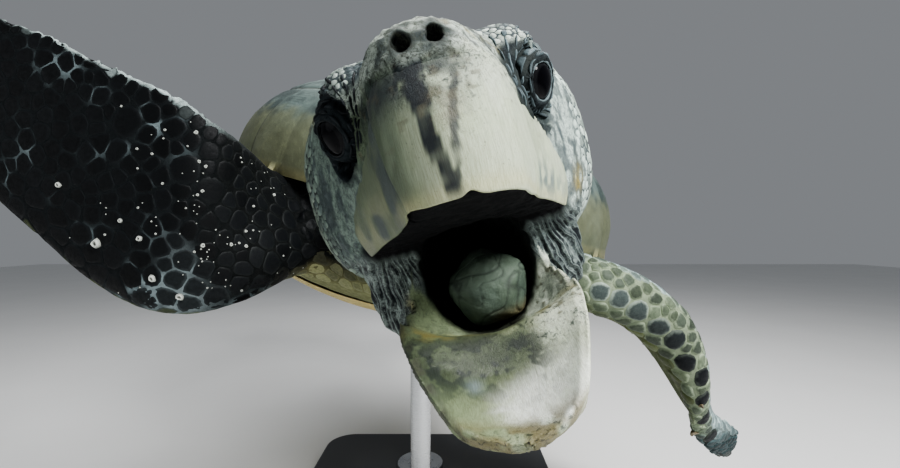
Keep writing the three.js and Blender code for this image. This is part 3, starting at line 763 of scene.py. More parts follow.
def skin_mesh():
    points, faces = surfaced(skin, SKIN_LOW, SKIN_HIGH, SKIN_VOXEL, SKIN_ADAPTIVITY)
    points, faces = main_part(settled(skin, points), faces)
    for _ in range(4):
        points, faces = refined(points, faces, lambda p: EDGE_ALLOWANCE * skin_target(p))
        points = settled(skin, relaxed(points, faces), rounds=1)
    return settled(skin, points, rounds=1), faces


# ---------------------------------------------------------------- shaders


class Shader:
    """A material built from procedural nodes."""

    def __init__(self, name):
        self.material = bpy.data.materials.new(name)
        self.material.use_nodes = True
        self.nodes, self.links = self.material.node_tree.nodes, self.material.node_tree.links
        self.principled = self.nodes["Principled BSDF"]

    def feed(self, socket, value):
        if isinstance(value, bpy.types.NodeSocket):
            self.links.new(value, socket)
        elif isinstance(value, tuple) and len(socket.default_value) == 4:
            socket.default_value = (*value, 1)
        else:
            socket.default_value = value

    def node(self, kind, sockets=None, **settings):
        node = self.nodes.new("ShaderNode" + kind)
        for name, value in settings.items():
            setattr(node, name, value)
        for name, value in (sockets or {}).items():
            self.feed(node.inputs[name], value)
        return node

    def layer(self, name, output="Fac"):
        return self.node("Attribute", attribute_name=name).outputs[output]

    def place(self, stretch=(1, 1, 1), source=None):
        source = source or self.node("TexCoord").outputs["Object"]
        return self.node("Mapping", {"Vector": source, "Scale": stretch}).outputs["Vector"]

    def noise(self, scale, detail=4, rough=0.6, at=None, distortion=0.0):
        sockets = {"Scale": scale, "Detail": detail, "Roughness": rough, "Distortion": distortion}
        return self.node("TexNoise", {**sockets, "Vector": at or self.place()}).outputs["Fac"]

    def math(self, operation, a, b=0.0, clamp=False):
        return self.node("Math", {0: a, 1: b}, operation=operation, use_clamp=clamp).outputs[0]

    def span(self, value, low, high, to_low=0.0, to_high=1.0):
        sockets = {"Value": value, "From Min": low, "From Max": high, "To Min": to_low, "To Max": to_high}
        return self.node("MapRange", sockets, interpolation_type="SMOOTHSTEP").outputs["Result"]

    def mix(self, share, a, b, blend="MIX"):
        node = self.node("Mix", data_type="RGBA", blend_type=blend)
        for number, value in ((0, share), (6, a), (7, b)):
            self.feed(node.inputs[number], value)
        return node.outputs[2]

    def tinted(self, tone, tint):
        return self.mix(1.0, tone, tint, "MULTIPLY")

    def cracks(self, scale, detail, width):
        """0 on the lines where a noise passes its middle, 1 away from them."""
        line = self.math("SUBTRACT", self.noise(scale, detail, 0.66, distortion=1.2), 0.5)
        return self.span(self.math("ABSOLUTE", line), 0.0, width)

    def relief(self, height, strength, distance, below=None):
        sockets = {"Height": height, "Strength": strength, "Distance": distance}
        if below is not None:
            sockets["Normal"] = below
        return self.node("Bump", sockets).outputs["Normal"]

    def done(self, colour, roughness, normal=None, **more):
        self.feed(self.principled.inputs["Base Color"], colour)
        self.feed(self.principled.inputs["Roughness"], roughness)
        if normal is not None:
            self.feed(self.principled.inputs["Normal"], normal)
        for name, value in more.items():
            self.feed(self.principled.inputs[name], value)
        return self.material


def skin_material():
    """Mottled, finely creased skin, with folds along the layer "fold" where the layer "folded" says, their
    grooves painted near black as shade.
    """
    s = Shader("skin")
    tone, seam = s.layer("tone", "Vector"), s.layer("seam_tone", "Vector")
    grain, folded, fold = s.layer("grain"), s.layer("folded"), s.layer("fold")
    wander = s.noise(70, 3, 0.5)
    crust = s.noise(420, 8, 0.74, distortion=0.6)
    cracks = s.cracks(230, 5, 0.045)
    mottle = s.span(s.noise(120, 7, 0.72), 0.36, 0.64)
    colour = s.mix(s.span(mottle, 0, 1, 0.0, 0.5), tone, s.tinted(tone, (0.5, 0.53, 0.52)))
    colour = s.mix(s.math("MULTIPLY", s.span(crust, 0.52, 0.66), grain), colour, seam)
    colour = s.mix(s.math("MULTIPLY", s.span(cracks, 1, 0, 0, 0.75), grain), colour, seam)
    turns = s.math("ADD", fold, s.span(wander, 0.2, 0.8, -0.35, 0.35))
    ridge = s.span(s.math("SINE", s.math("MULTIPLY", turns, TURN)), -0.6, 0.7)
    fibre = s.span(s.math("SINE", s.math("MULTIPLY", turns, 4.7 * math.pi)), -0.5, 0.8, 0.35, 1.0)
    broken = s.span(s.noise(90, 6, 0.8), 0.36, 0.56, 0.05, 1.0)
    stripe = s.math("MULTIPLY", ridge, fibre)
    groove = s.math("MULTIPLY", s.math("SUBTRACT", 1.0, stripe), s.math("MULTIPLY", folded, broken))
    # The grooves between the folds painted near black, as painted shade in the creases.
    colour = s.mix(groove, colour, (0.012, 0.015, 0.018))
    normal = s.relief(s.math("MULTIPLY", folded, stripe), 0.7, 0.0012)
    normal = s.relief(cracks, 0.35, 0.0007, normal)
    normal = s.relief(crust, 0.5, 0.0014, normal)
    rough = s.math("ADD", s.span(mottle, 0, 1, 0.45, 0.66), s.span(grain, 1, 0.3, 0, 0.26))
    return s.done(colour, rough, normal, **{"Specular IOR Level": 0.14})


def scale_material(name):
    """Single scales, toned one by one, worn and dusted, paler round their margins."""
    s = Shader(name)
    tone, rim_tone, middle = s.layer("tone", "Vector"), s.layer("seam_tone", "Vector"), s.layer("middle")
    worn, dust = s.noise(260, 6, 0.7), s.noise(900, 3, 0.6)
    colour = s.mix(s.span(worn, 0.38, 0.66, 0, 0.6), tone, s.tinted(tone, (0.45, 0.48, 0.48)))
    margin = s.math("ADD", middle, s.span(s.noise(90, 4, 0.6), 0.3, 0.7, -0.12, 0.12))
    colour = s.mix(s.span(margin, 0.34, 0.02, 0, 0.85), colour, rim_tone)
    colour = s.mix(s.span(dust, 0.62, 0.74, 0, 0.35), colour, rim_tone)
    normal = s.relief(worn, 0.3, 0.0012)
    normal = s.relief(dust, 0.3, 0.0004, normal)
    return s.done(colour, s.span(worn, 0.3, 0.7, 0.42, 0.64), normal, **{"Specular IOR Level": 0.14})


def horn_material(name):
    """Horn with its streaks along the layer "grain", whose third number runs with them."""
    s = Shader(name)
    tone = s.layer("tone", "Vector")
    grain = s.layer("grain", "Vector")
    streak = s.noise(1.0, 4, 0.65, s.place((2.2, 2.2, 0.16), grain))
    fine = s.noise(1.0, 3, 0.6, s.place((7, 7, 0.5), grain))
    cloud = s.noise(60, 5, 0.6)
    colour = tone
    for pattern, low, high, share, tint in (
        (streak, 0.36, 0.66, 0.55, (0.52, 0.5, 0.42)),
        (fine, 0.58, 0.75, 0.45, (0.35, 0.36, 0.34)),
        (cloud, 0.45, 0.7, 0.4, (0.8, 0.86, 0.72)),
    ):
        colour = s.mix(s.span(pattern, low, high, 0.0, share), colour, s.tinted(tone, tint))
    specks = s.span(s.noise(1500, 2, 0.5), 0.66, 0.74, 0, 0.6)
    colour = s.mix(specks, colour, (0.06, 0.06, 0.045))
    crust, crusted = s.noise(420, 8, 0.74, distortion=0.6), s.layer("crust")
    share = s.math("MULTIPLY", s.span(crust, 0.5, 0.64), crusted)
    colour = s.mix(share, colour, s.tinted(tone, (0.16, 0.18, 0.18)))
    normal = s.relief(streak, 0.3, 0.0012)
    normal = s.relief(fine, 0.25, 0.0004, normal)
    normal = s.relief(s.math("MULTIPLY", crust, crusted), 0.5, 0.0014, normal)
    return s.done(colour, s.span(cloud, 0.3, 0.7, 0.38, 0.56), normal)


def scute_material(name, seam_colour, streaks):
    """Plates with seams, from the layer "seam": millimetres to the nearest one."""
    s = Shader(name)
    tone = s.layer("tone", "Vector")
    seam = s.layer("seam")
    patches = s.noise(14, 6, 0.65)
    dust = s.noise(110, 6, 0.7)
    fine = s.noise(600, 4, 0.7)
    colour = tone
    for pattern, low, high, share, tint in (
        (patches, 0.4, 0.65, 0.6, streaks),
        (dust, 0.45, 0.75, 0.4, (1.7, 1.7, 1.6)),
        (fine, 0.55, 0.75, 0.4, (0.5, 0.5, 0.45)),
    ):
        colour = s.mix(s.span(pattern, low, high, 0.0, share), colour, s.tinted(tone, tint))
    colour = s.mix(s.span(seam, 0.4, 2.6, 0.75, 0.0), colour, seam_colour)
    from_seam = s.node("CombineXYZ", {0: seam}).outputs[0]
    rings = s.node("TexWave", {"Scale": 0.11, "Distortion": 3.0, "Detail": 3.0, "Vector": from_seam})
    normal = s.relief(rings.outputs["Fac"], 0.12, 0.0012)
    normal = s.relief(s.span(seam, 0, 3), 0.5, 0.0012, normal)
    normal = s.relief(dust, 0.35, 0.0012, normal)
    normal = s.relief(fine, 0.3, 0.0005, normal)
    return s.done(colour, s.span(dust, 0.3, 0.7, 0.55, 0.78), normal)


def tongue_material():
    s = Shader("tongue")
    tone = s.layer("tone", "Vector")
    cloud = s.noise(70, 5, 0.6)
    colour = s.mix(s.span(cloud, 0.4, 0.7, 0, 0.5), tone, s.tinted(tone, (0.62, 0.66, 0.55)))
    normal = s.relief(s.noise(330, 7, 0.7), 0.6, 0.0014)
    return s.done(colour, s.span(cloud, 0.3, 0.7, 0.5, 0.66), normal, **{"Specular IOR Level": 0.3})


def eye_material():
    """Nearly black and wet, the pupil a little darker; "gaze" is 1 at the pupil's middle."""
    s = Shader("eye")
    gaze = s.layer("gaze")
    fibres = s.noise(1.0, 3, 0.6, s.place((900, 900, 900)))
    iris = s.mix(fibres, (0.006, 0.007, 0.009), (0.014, 0.014, 0.014))
    colour = s.mix(s.span(gaze, 0.86, 0.9), iris, (0.002, 0.002, 0.003))
    colour = s.mix(s.span(gaze, 0.7, 0.5), colour, (0.01, 0.013, 0.018))
    normal = s.relief(s.noise(160, 2), 0.05, 0.0004)
    return s.done(colour, 0.09, normal, **{"Specular IOR Level": 0.08})


def claw_material():
    s = Shader("claw")
    length = s.layer("length")
    streak = s.noise(500, 4, 0.6)
    colour = s.mix(s.span(length, 0, 1), (0.2, 0.16, 0.09), (0.05, 0.038, 0.024))
    colour = s.mix(s.span(streak, 0.4, 0.7, 0, 0.5), colour, (0.3, 0.26, 0.17))
    return s.done(colour, s.span(streak, 0.3, 0.7, 0.35, 0.5), s.relief(streak, 0.3, 0.0004))


def barnacle_material():
    s = Shader("barnacle")
    height = s.layer("height")
    grit = s.noise(700, 5, 0.7)
    colour = s.mix(s.span(height, 0.1, 0.9), (0.2, 0.21, 0.19), (0.5, 0.52, 0.48))
    colour = s.mix(s.span(grit, 0.5, 0.75, 0, 0.5), colour, (0.4, 0.4, 0.33))
    return s.done(colour, 0.7, s.relief(grit, 0.5, 0.0005))


def lacquer_material():
    s = Shader("stand_base")
    orange_peel, wear = s.noise(420, 3, 0.5), s.noise(9, 5, 0.6)
    colour = s.mix(s.span(wear, 0.35, 0.7), (0.035, 0.037, 0.04), (0.05, 0.052, 0.056))
    return s.done(colour, s.span(wear, 0.3, 0.7, 0.36, 0.46), s.relief(orange_peel, 0.05, 0.0003))


def steel_material():
    s = Shader("stand_rod")
    brushed = s.noise(1.0, 4, 0.6, s.place((40, 40, 2600)))
    colour = s.mix(s.span(brushed, 0.3, 0.7), (0.46, 0.47, 0.48), (0.6, 0.61, 0.62))
    normal = s.relief(brushed, 0.12, 0.0002)
    return s.done(colour, s.span(brushed, 0.3, 0.7, 0.24, 0.38), normal, Metallic=1.0)


def floor_material():
    s = Shader("floor")
    cloth = s.noise(3, 4, 0.5)
    return s.done(s.mix(cloth, (0.72, 0.72, 0.71), (0.78, 0.78, 0.77)), 0.85)


# ---------------------------------------------------------------- painting the skin

# Near black, painted into the throat and onto the roof of the mouth as the shade inside the mouth.
MOUTH_SHADE = (0.004, 0.004, 0.005)
# How far apart the wrinkles round the eyes are, and the small knob at the left corner of the mouth.
WRINKLE_SPACING, KNOB, KNOB_SIZE = 4.2, np.array([40, 106, -41]), 3.2
# The numbers of the groups of scales, each of which becomes a piece.
HEAD_GROUP, RIGHT_GROUP, LEFT_GROUP, HIND_GROUP, NECK_GROUP = 1, 2, 3, 4, 5
# The folds at the corners of the mouth fan out from a point before it. On a plane at this reach from
# that point: where they curl in, and the way they run down, on the left and on the right.
FAN_POINT, FAN_REACH, FOLD_SPACING = (-7.6, -152.3, -5.3), 265, 3.0
FOLD_CENTRES, FOLD_WAYS = ((40.5, -17.3), (-42, -9)), ((0.28, -0.96), (0.1, -0.995))
tomium_height = profile(*TOMIUM)


def blended(colours, share, colour):
    return colours + np.clip(share, 0, 1)[:, None] * (np.array(colour) - colours)


def coated(ground, *coats):
    """Colours over a ground, coat upon coat, each a share for every point and a colour."""
    colours = np.array(ground, float)
    for share, colour in coats:
        colours = blended(colours, share, colour)
    return colours


def lay(paint, share, *colours):
    """Lays a tone, a tone for the seams and one for the scales' margins over the paint; None leaves it."""
    for layer, colour in zip(("tone", "seam_tone", "rim"), colours):
        if colour is not None:
            paint[layer] = blended(paint[layer], share, colour)


def head_share(head):
    """1 on the head, falling to 0 down the neck."""
    x, y, z = head.T
    return smoothstep(250, 215, y) * (np.abs(x) < 130) * (np.abs(z) < 160)


def paint_limb(name, points, paint):
    """A flipper's skin and scales, dark above and pale below; spacing 0 is skin without scales."""
    limb = LIMBS[name][0]
    near = np.flatnonzero(((points > limb.low) & (points < limb.high)).all(1))
    t, across, out, over = limb.coordinates(points[near])
    half, thick = limb.at_t(limb.half_chord, t), limb.at_t(limb.half_thick, t)
    u = across / half
    close = (np.abs(out) < 1.6 * thick + 6) & (np.abs(u) < 1.25) & (over < 12)
    onto = np.where(close, smoothstep(0.06, 0.24, t), 0)
    side = 1 if name in ("front_right", "hind_left") else -1
    cloud, patch = noise(points[near], 26, 3), noise(points[near], 55, 6)
    turned_up = side * out / thick + 0.2 * cloud + 1.2 * smoothstep(-0.8, -0.95, u)
    dorsal = onto * smoothstep(-0.3, 0.2, turned_up)
    ventral = onto * (1 - dorsal)
    here = {key: paint[key][near] for key in ("tone", "seam_tone", "rim", "spacing", "rise", "group")}
    lay(here, onto, (0.44, 0.42, 0.22), (0.32, 0.28, 0.13), (0.5, 0.47, 0.27))
    spacing, rise = 11 + 2.5 * cloud, np.where(dorsal > 0.5, 0.95, 0.35)
    if name == "front_right":
        group = RIGHT_GROUP
        worn = smoothstep(0.4, 0.2, np.abs(t - 0.42) + 0.15 * patch) * smoothstep(-0.2, 0.5, cloud + patch)
        # The back of the right flipper near black: partly its own dark colour, partly painted shade on the
        # side turned from the light.
        lay(here, dorsal, (0.003, 0.0036, 0.0042), (0.006, 0.008, 0.009), (0.006, 0.0075, 0.0085))
        broken = smoothstep(-0.1, 0.3, noise(points[near], 9, 63) + 0.3 * cloud)
        lay(here, dorsal * worn * broken, None, (0.16, 0.2, 0.21), (0.01, 0.013, 0.015))
        pale = dorsal * bump(t, 0.34, 0.05) * smoothstep(-0.2, 0.5, patch) * smoothstep(-0.4, 0, u)
        lay(here, pale * 0.8, (0.02, 0.026, 0.028), (0.26, 0.31, 0.32), (0.07, 0.085, 0.088))
        trailing = onto * smoothstep(-0.935, -0.96, u)
        leading = onto * smoothstep(0.965, 0.99, u) * (out < 0.4 * thick)
        lay(here, trailing, (0.42, 0.5, 0.49))
        lay(here, leading, (0.12, 0.145, 0.06))
        spacing = 12 + 2 * cloud + 4 * smoothstep(0.2, 0.9, u) - 4 * smoothstep(-0.7, -1, u)
        spacing = np.where((trailing > 0.5) | (leading > 0.5), 0, spacing)
        rise = np.where(dorsal > 0.5, 0.3, 0.35)
    elif name == "front_left":
        group = LEFT_GROUP
        middle = onto * smoothstep(0.5, 0.8, u)
        lay(here, ventral, (0.1, 0.12, 0.05), (0.095, 0.11, 0.045), (0.105, 0.125, 0.052))
        lay(here, dorsal, (0.19, 0.25, 0.25), (0.24, 0.3, 0.29), (0.42, 0.52, 0.51))
        lay(here, middle, (0.12, 0.15, 0.1), (0.27, 0.32, 0.22), (0.3, 0.36, 0.25))
        lay(here, middle * smoothstep(0.1, 0.5, cloud + patch) * 0.6, (0.04, 0.05, 0.044))
        hem = ventral * smoothstep(-0.8, -0.98, u)
        lay(here, hem, (0.3, 0.2, 0.08), (0.24, 0.16, 0.06), (0.32, 0.22, 0.09))
        blade = onto * smoothstep(0.82, 0.9, t)
        lay(here, blade, (0.02, 0.036, 0.04), (0.01, 0.015, 0.018), (0.075, 0.12, 0.125))
        tip = onto * smoothstep(0.95, 0.98, t)
        lay(here, tip, (0.06, 0.065, 0.06), (0.05, 0.05, 0.05), (0.1, 0.1, 0.09))
        spacing = 11.5 + 2.5 * cloud + np.where(dorsal > 0.5, 0, 3)
        spacing = np.where((dorsal < 0.5) & (u < 0.4), 0, spacing)
        rise = np.where((dorsal > 0.3) | (u > 0.5), 2.3, 0.08)
    else:
        group = HIND_GROUP
        lay(here, dorsal, (0.05, 0.052, 0.042), (0.34, 0.33, 0.22), (0.2, 0.2, 0.13))
        spacing = 14 + 2 * cloud
    scaly = onto > 0.3
    for key, values in (("spacing", spacing), ("rise", rise), ("group", group)):
        here[key] = np.where(scaly, values, here[key])
    for key, values in here.items():
        paint[key][near] = values


def fold_field(head):
    """How far the skin at the corners of the mouth is folded, and a count that rises by 1 with each fold."""
    x, y, z = head.T
    wide = smoothstep(25, 31, np.abs(x)) * smoothstep(96, 88, np.abs(x))
    folded = wide * smoothstep(3, -6, z - tomium_height(y)) * smoothstep(-100, -86, z)
    folded *= smoothstep(84, 92, y) * smoothstep(136, 124, y)
    count = np.zeros(len(head))
    ahead = FAN_REACH / np.maximum(y - FAN_POINT[1], 50)
    for side, (centre, way) in enumerate(zip(FOLD_CENTRES, FOLD_WAYS)):
        across, down = ahead * (x - FAN_POINT[0]) - centre[0], ahead * (z - FAN_POINT[2]) - centre[1]
        along = across * way[0] + down * way[1]
        beside = across * way[1] - down * way[0]
        reach = np.where(along > 0, np.abs(beside), np.hypot(beside, 0.8 * along))
        here = (x > 0) == (side == 0)
        count = np.where(here, reach / FOLD_SPACING, count)
        bare = smoothstep(-4, 4, beside - 9 + 0.29 * along) if side == 0 else smoothstep(3, -4, beside)
        folded = folded * np.where(here, 1 - bare * smoothstep(10, 20, along - 14 * side), 1)
    return folded, count + 1.1 * noise(head, 20, 5) + 0.42 * noise(head, 7, 15)


def to_eye(head):
    """Distance from the nearer eye's line of sight, and how far in front of the eyeball's middle."""
    out = np.where(head[:, 0] > 0, 1, -1)
    seen = eye_frame(head * out[:, None] ** [1, 0, 0], 1)
    return np.hypot(seen[:, 1], seen[:, 2]), seen


def bill_tone(head):
    """The colours that run on from the rough skin of the snout over the front plates of the horn."""
    x, y, z = head.T
    cloud, grit, fine = noise(head, 14, 20), noise(head, 4, 21), noise(head, (5, 5, 14), 27)
    veins = smoothstep(0.1, 0.5, noise(head, (9, 9, 30), 29) + 0.3 * grit)
    edge = z - tomium_height(y)
    band = bump(z, 46 + 3 * fine, 9) * smoothstep(-38, -30, x) * smoothstep(18, 2, x + 5 * grit)
    jitter = 1.2 * fine + 1.3 * noise(head, (1.8, 1.8, 14), 59)
    away = np.abs(x - np.interp(z, [0, 8, 18, 25, 45], [-2.5, -3.6, -6.1, -7.2, -8])) + jitter
    streak = smoothstep(0.5, -0.6, away - np.interp(z, [4, 14, 25, 36, 45], [3.4, 2.6, 2.9, 3.8, 5.4]))
    streak *= smoothstep(0, 6, z + 2 * cloud) * smoothstep(58, 50, z)
    away = np.abs(x - np.interp(z, [0, 9.5, 22, 36, 50], [-2, -1.2, 1.2, 4.6, 9])) + 0.5 * jitter
    second = smoothstep(2.0, 1.2, away) * smoothstep(2, 8, z) * smoothstep(52, 40, z)
    brown = bump(x, 2, 6) * bump(z, 33, 10) * smoothstep(0.1, 0.5, grit + 0.5 * cloud)
    specks = smoothstep(0.45, 0.75, noise(head, 2.6, 26)) * smoothstep(10, 40, z)
    return coated(
        (0.42, 0.47, 0.34),
        (smoothstep(-2, 22, x + 3 * cloud) * 0.85, (0.56, 0.62, 0.48)),
        # The plates on the right side darker: partly their own olive tone, partly painted shade on the side
        # turned from the light.
        (smoothstep(-6, -22, x + 4 * cloud) * 0.88, (0.055, 0.085, 0.048)),
        (smoothstep(26, 40, z + 5 * grit) * smoothstep(-12, 10, x) * 0.55, (0.56, 0.62, 0.52)),
        (veins * 0.35, (0.26, 0.31, 0.22)),
        (bump(edge, 1.5, 4 + 2 * cloud) * 0.45, (0.56, 0.54, 0.3)),
        (band * smoothstep(-0.95, -0.25, cloud + grit) * 0.94, (0.026, 0.038, 0.04)),
        (streak * np.clip(0.95 + 0.3 * grit, 0, 1), (0.012, 0.018, 0.022)),
        (second * 0.9 * smoothstep(-0.8, -0.3, cloud), (0.02, 0.026, 0.026)),
        (brown * 0.3, (0.24, 0.19, 0.1)),
        (specks * 0.6, (0.12, 0.11, 0.07)),
    )


def paint_skin(points, normals):
    """Tones of the skin and its scales, their spacing and rise, and how creased the skin is."""
    count = len(points)
    cloud = noise(points, 22, 1)
    body = SHELL.inside(points)
    hidden = (plan_reach(body[:, 0], body[:, 1]) < 0.86) & (body[:, 2] > -150)
    under = smoothstep(0.15, -0.5, normals @ SHELL.turn[:, 2] + 0.2 * cloud)
    paint = {
        "tone": np.tile([0.075, 0.08, 0.06], (count, 1)),
        "seam_tone": np.tile([0.03, 0.034, 0.028], (count, 1)),
        "rim": np.tile([0.13, 0.14, 0.1], (count, 1)),
        "spacing": np.where(hidden, 0, 12 + 2.5 * cloud),
        "rise": np.where(under > 0.5, 0.2, 0.8),
        "group": np.full(count, NECK_GROUP),
    }
    lay(paint, under, (0.24, 0.25, 0.13), (0.17, 0.17, 0.085), (0.26, 0.27, 0.14))
    for name in ("front_right", "front_left", "hind_left", "hind_right"):
        paint_limb(name, points, paint)
    x, y, _ = points.T
    # The skin by the right shoulder, where it doesn't face down, painted near black as the shade under the
    # shell's rim.
    shoulder_shade = smoothstep(-20, -60, x) * smoothstep(-215, -165, x)
    shoulder_shade *= smoothstep(-120, -200, y) * smoothstep(-0.8, -0.4, normals[:, 2]) * (y > -520)
    lay(paint, shoulder_shade, (0.005, 0.006, 0.007), (0.004, 0.005, 0.005), (0.01, 0.012, 0.012))
    paint_head(HEAD.inside(points), paint)
    paint["bared"] = 1 - smoothstep(0, 2, paint["spacing"])
    return paint


def paint_head(head, paint):
    """The head's share of the paint, with how grainy and how folded the skin is."""
    x, y, z = head.T
    in_head = head_share(head)
    fine = noise(head, 5, 4)
    lay(paint, in_head, (0.2, 0.22, 0.165), (0.06, 0.068, 0.06), (0.34, 0.36, 0.27))
    # The cheeks: the left one pale, the right one darker, partly its own tone and partly painted shade on the
    # side turned from the light.
    cheek = in_head * smoothstep(190, 120, y) * smoothstep(-95, -40, z)
    lay(paint, cheek * (x > 0), (0.56, 0.66, 0.6), (0.1, 0.125, 0.13), 0.9 * np.array((0.56, 0.66, 0.6)))
    lay(paint, cheek * (x < 0), (0.2, 0.26, 0.22), (0.04, 0.05, 0.05), 0.9 * np.array((0.2, 0.26, 0.22)))
    streaks = cheek * smoothstep(0.0, 0.45, noise(head, (5, 5, 26), 46) + 0.5 * fine) * smoothstep(44, 24, z)
    lay(paint, streaks * np.where(x > 0, 0.75, 0.8), (0.04, 0.052, 0.056))
    blots = cheek * smoothstep(0.1, 0.4, noise(head, 8, 61) + 0.8 * fine + 0.4 * noise(head, 2.2, 67))
    lay(paint, blots * 0.75, (0.07, 0.09, 0.095))
    ochre = bump(y, 112, 7) * bump(z, -2, 8) * (x > 40) * smoothstep(-0.6, 0.3, fine)
    lay(paint, ochre * 0.8, (0.5, 0.38, 0.08))
    # The snout over the horn, pale and rough.
    snout = in_head * smoothstep(80, 50, y) * smoothstep(20, 34, z)
    bill = bill_tone(head)
    lay(paint, snout, bill, 0.13 * bill, 1.12 * bill)
    crust = snout * smoothstep(50, 57, z + 3 * fine)
    lay(paint, crust * 0.75, (0.5, 0.56, 0.5))
    shaded = crust * smoothstep(0.05, 0.45, noise(head, 9, 65) + 0.8 * fine + 0.3 * noise(head, 2.4, 66))
    lay(paint, shaded * 0.9, (0.055, 0.07, 0.07))
    yellow = crust * smoothstep(0, 16, x) * smoothstep(-0.1, 0.7, noise(head, 8, 47))
    lay(paint, yellow * 0.6, (0.5, 0.44, 0.2))
    # Dark wrinkled skin round the eyes, its own dark colour, and round the right eye also painted shade in
    # the socket, with a thin margin to the lids, and a pale brow.
    away, seen = to_eye(head)
    ahead, beside, above = seen.T
    facing = (ahead > -6) & (in_head > 0)
    left = x > 0
    from_lids = np.hypot((beside - 11) / 1.3, (above - 1) / np.where(above > 1, 0.8, 1.3))
    hollow = np.where(left, smoothstep(24, 20, from_lids + 2 * fine), smoothstep(26, 22, away + 2 * fine))
    hollow = facing * hollow
    lay(paint, hollow * np.where(left, 0.95, 0.985), (0.017, 0.023, 0.027))
    lay(paint, hollow, None, (0.006, 0.008, 0.009))
    lid = facing * bump(away, 11.2, 0.8) * smoothstep(8, 11, ahead)
    lay(paint, lid * np.where(left, 0.95, 0.3), (0.022, 0.028, 0.032))
    brow = in_head * (np.abs(x) > 22) * smoothstep(11, 17, above) * smoothstep(44, 34, away) * (ahead > -16)
    brow *= np.where(left, smoothstep(20, 24, from_lids), smoothstep(20, 25, away))
    crusty = smoothstep(-0.25, 0.35, noise(head, 7, 62) + 0.5 * fine + 0.5 * smoothstep(14, 26, away) - 0.2)
    lay(paint, brow, (0.09, 0.115, 0.12), (0.06, 0.075, 0.08))
    lay(paint, brow * crusty * np.where(left, 1, 0.5), (0.5, 0.56, 0.5))
    lay(paint, brow * (1 - crusty), None, None, (0.14, 0.17, 0.17))
    # The mouth: the jaw's bare inner sides, striped skin at its corners, and the inside painted near black as
    # shade.
    closed = shut(head)
    to_jaw = jaw(closed)
    on_jaw = smoothstep(8, 3, to_jaw) * in_head * (closed[:, 1] < 150)
    within = smoothstep(-3, 1.5, jaw_lining(closed))
    chin = on_jaw * (1 - within) * smoothstep(150, 120, closed[:, 1])
    lay(paint, chin * 0.8, (0.4, 0.38, 0.2))
    flesh = on_jaw * within
    folded, fold = fold_field(head)
    folded *= 1 - flesh
    lay(paint, folded * 0.95 * (x > 0), (0.25, 0.3, 0.28))
    lay(paint, folded * 0.95 * (x <= 0), (0.33, 0.39, 0.36))
    lay(paint, flesh, paint_lower_horn(closed))
    # Painted shade: the throat and the roof of the mouth get near black.
    cave_shade = in_head * smoothstep(4, -1, ellipsoid(head, MOUTH, MOUTH_SIZE))
    horn_half = np.interp(y, [-3, 4, 15, 30, 60, 94, 120], [14, 20, 26, 33, 46, 62, 68])
    palate_shade = in_head * smoothstep(0, -3, np.abs(x) - horn_half) * smoothstep(105, 96, y)
    palate_shade *= smoothstep(-30, -20, z)
    palate_shade *= smoothstep(9, 3, z - tomium_height(y))
    inside = np.clip(cave_shade + palate_shade, 0, 1)
    lay(paint, inside, MOUTH_SHADE, MOUTH_SHADE)
    folded *= 1 - inside
    # The top of the head, dark, with pale seams between its plates, and the nostrils.
    crown = in_head * smoothstep(66, 80, z) * smoothstep(92, 112, y)
    lay(paint, crown, (0.12, 0.11, 0.065), (0.36, 0.35, 0.22))
    for side in (1, -1):
        nostril = ellipsoid(head, (NOSTRILS[0] + side * NOSTRIL_SPREAD, *NOSTRILS[1:]), NOSTRIL_SIZE)
        lay(paint, smoothstep(8, 1.5, nostril + 3 * fine) * 0.9, (0.034, 0.045, 0.046))
        lay(paint, smoothstep(1.8, -0.4, nostril + 0.8 * fine), (0.005, 0.006, 0.006))

    size = 4.2 + 5 * smoothstep(120, 190, y) + 0.8 * fine
    size += 13 * (crown > 0.5) * smoothstep(120, 90, y + 20)
    size = np.where(brow > 0.5, 3.1 + 1.1 * fine, size)
    crusted = ((snout > 0.4) & (y < 52)) | ((y < 124 + 10 * fine) & (brow < 0.5) & (crown < 0.5))
    under_horn = (polygon(y, z, HORN_OUTLINE) < 1) & (y < 105)
    under_horn |= (chin_distance(closed) < 2) & (to_jaw < 4)
    bare = crusted | under_horn | (away < 13) | (hollow > 0.4)
    bare |= (folded > 0.25) | (inside > 0.2) | (flesh > 0.3)
    for key, values in (
        ("spacing", np.where(bare, 0, size)),
        ("rise", np.where(crown > 0.5, 0.9, 0.12 * size)),
        ("group", HEAD_GROUP),
    ):
        paint[key] = np.where(in_head > 0.4, values, paint[key])
    grain = np.where(in_head > 0.5, 1 - 0.75 * hollow - 0.6 * flesh, 0.5)
    paint.update(grain=grain * (1 - 0.8 * inside), folded=folded, fold=fold)


def mould_skin(points):
    """How far each point of the skin stands out beyond the plain shape."""
    head = HEAD.inside(points)
    _, y, z = head.T
    height = 0.35 * noise(points, 16, 8)
    in_head = head_share(head)
    folded, fold = fold_field(head)
    height += in_head * folded * (0.3 * np.sin(fold * TURN) + 0.75 * np.sin(fold * math.pi) + 0.2)
    # Wrinkles run round the eye on the bill's side of it, over it and under it.
    away, seen = to_eye(head)
    around = in_head * smoothstep(29, 22, away) * smoothstep(12.5, 15, away) * (seen[:, 0] > -8)
    rings = np.sin((away + 1.4 * noise(head, 9, 9)) * TURN / WRINKLE_SPACING)
    height += around * (0.85 * rings - 0.2)
    height += in_head * (seen[:, 0] > 6) * 0.7 * bump(away, 11.4, 1.1)
    rough = in_head * smoothstep(170, 120, y) * (1 - around) * (1 - folded)
    height += rough * (0.55 * noise(head, 5, 10) + 0.4 * noise(head, 2.8, 11))
    snout = in_head * smoothstep(66, 46, y) * smoothstep(36, 46, z)
    lumps = 0.6 * noise(head, 7, 12) + 0.45 * noise(head, 3.4, 13) + 0.35 * noise(head, 1.7, 14)
    height += snout * (lumps - 0.9)
    return height + 1.6 * np.exp(-(((head - KNOB) ** 2).sum(1)) / KNOB_SIZE**2)


# ---------------------------------------------------------------- the skin


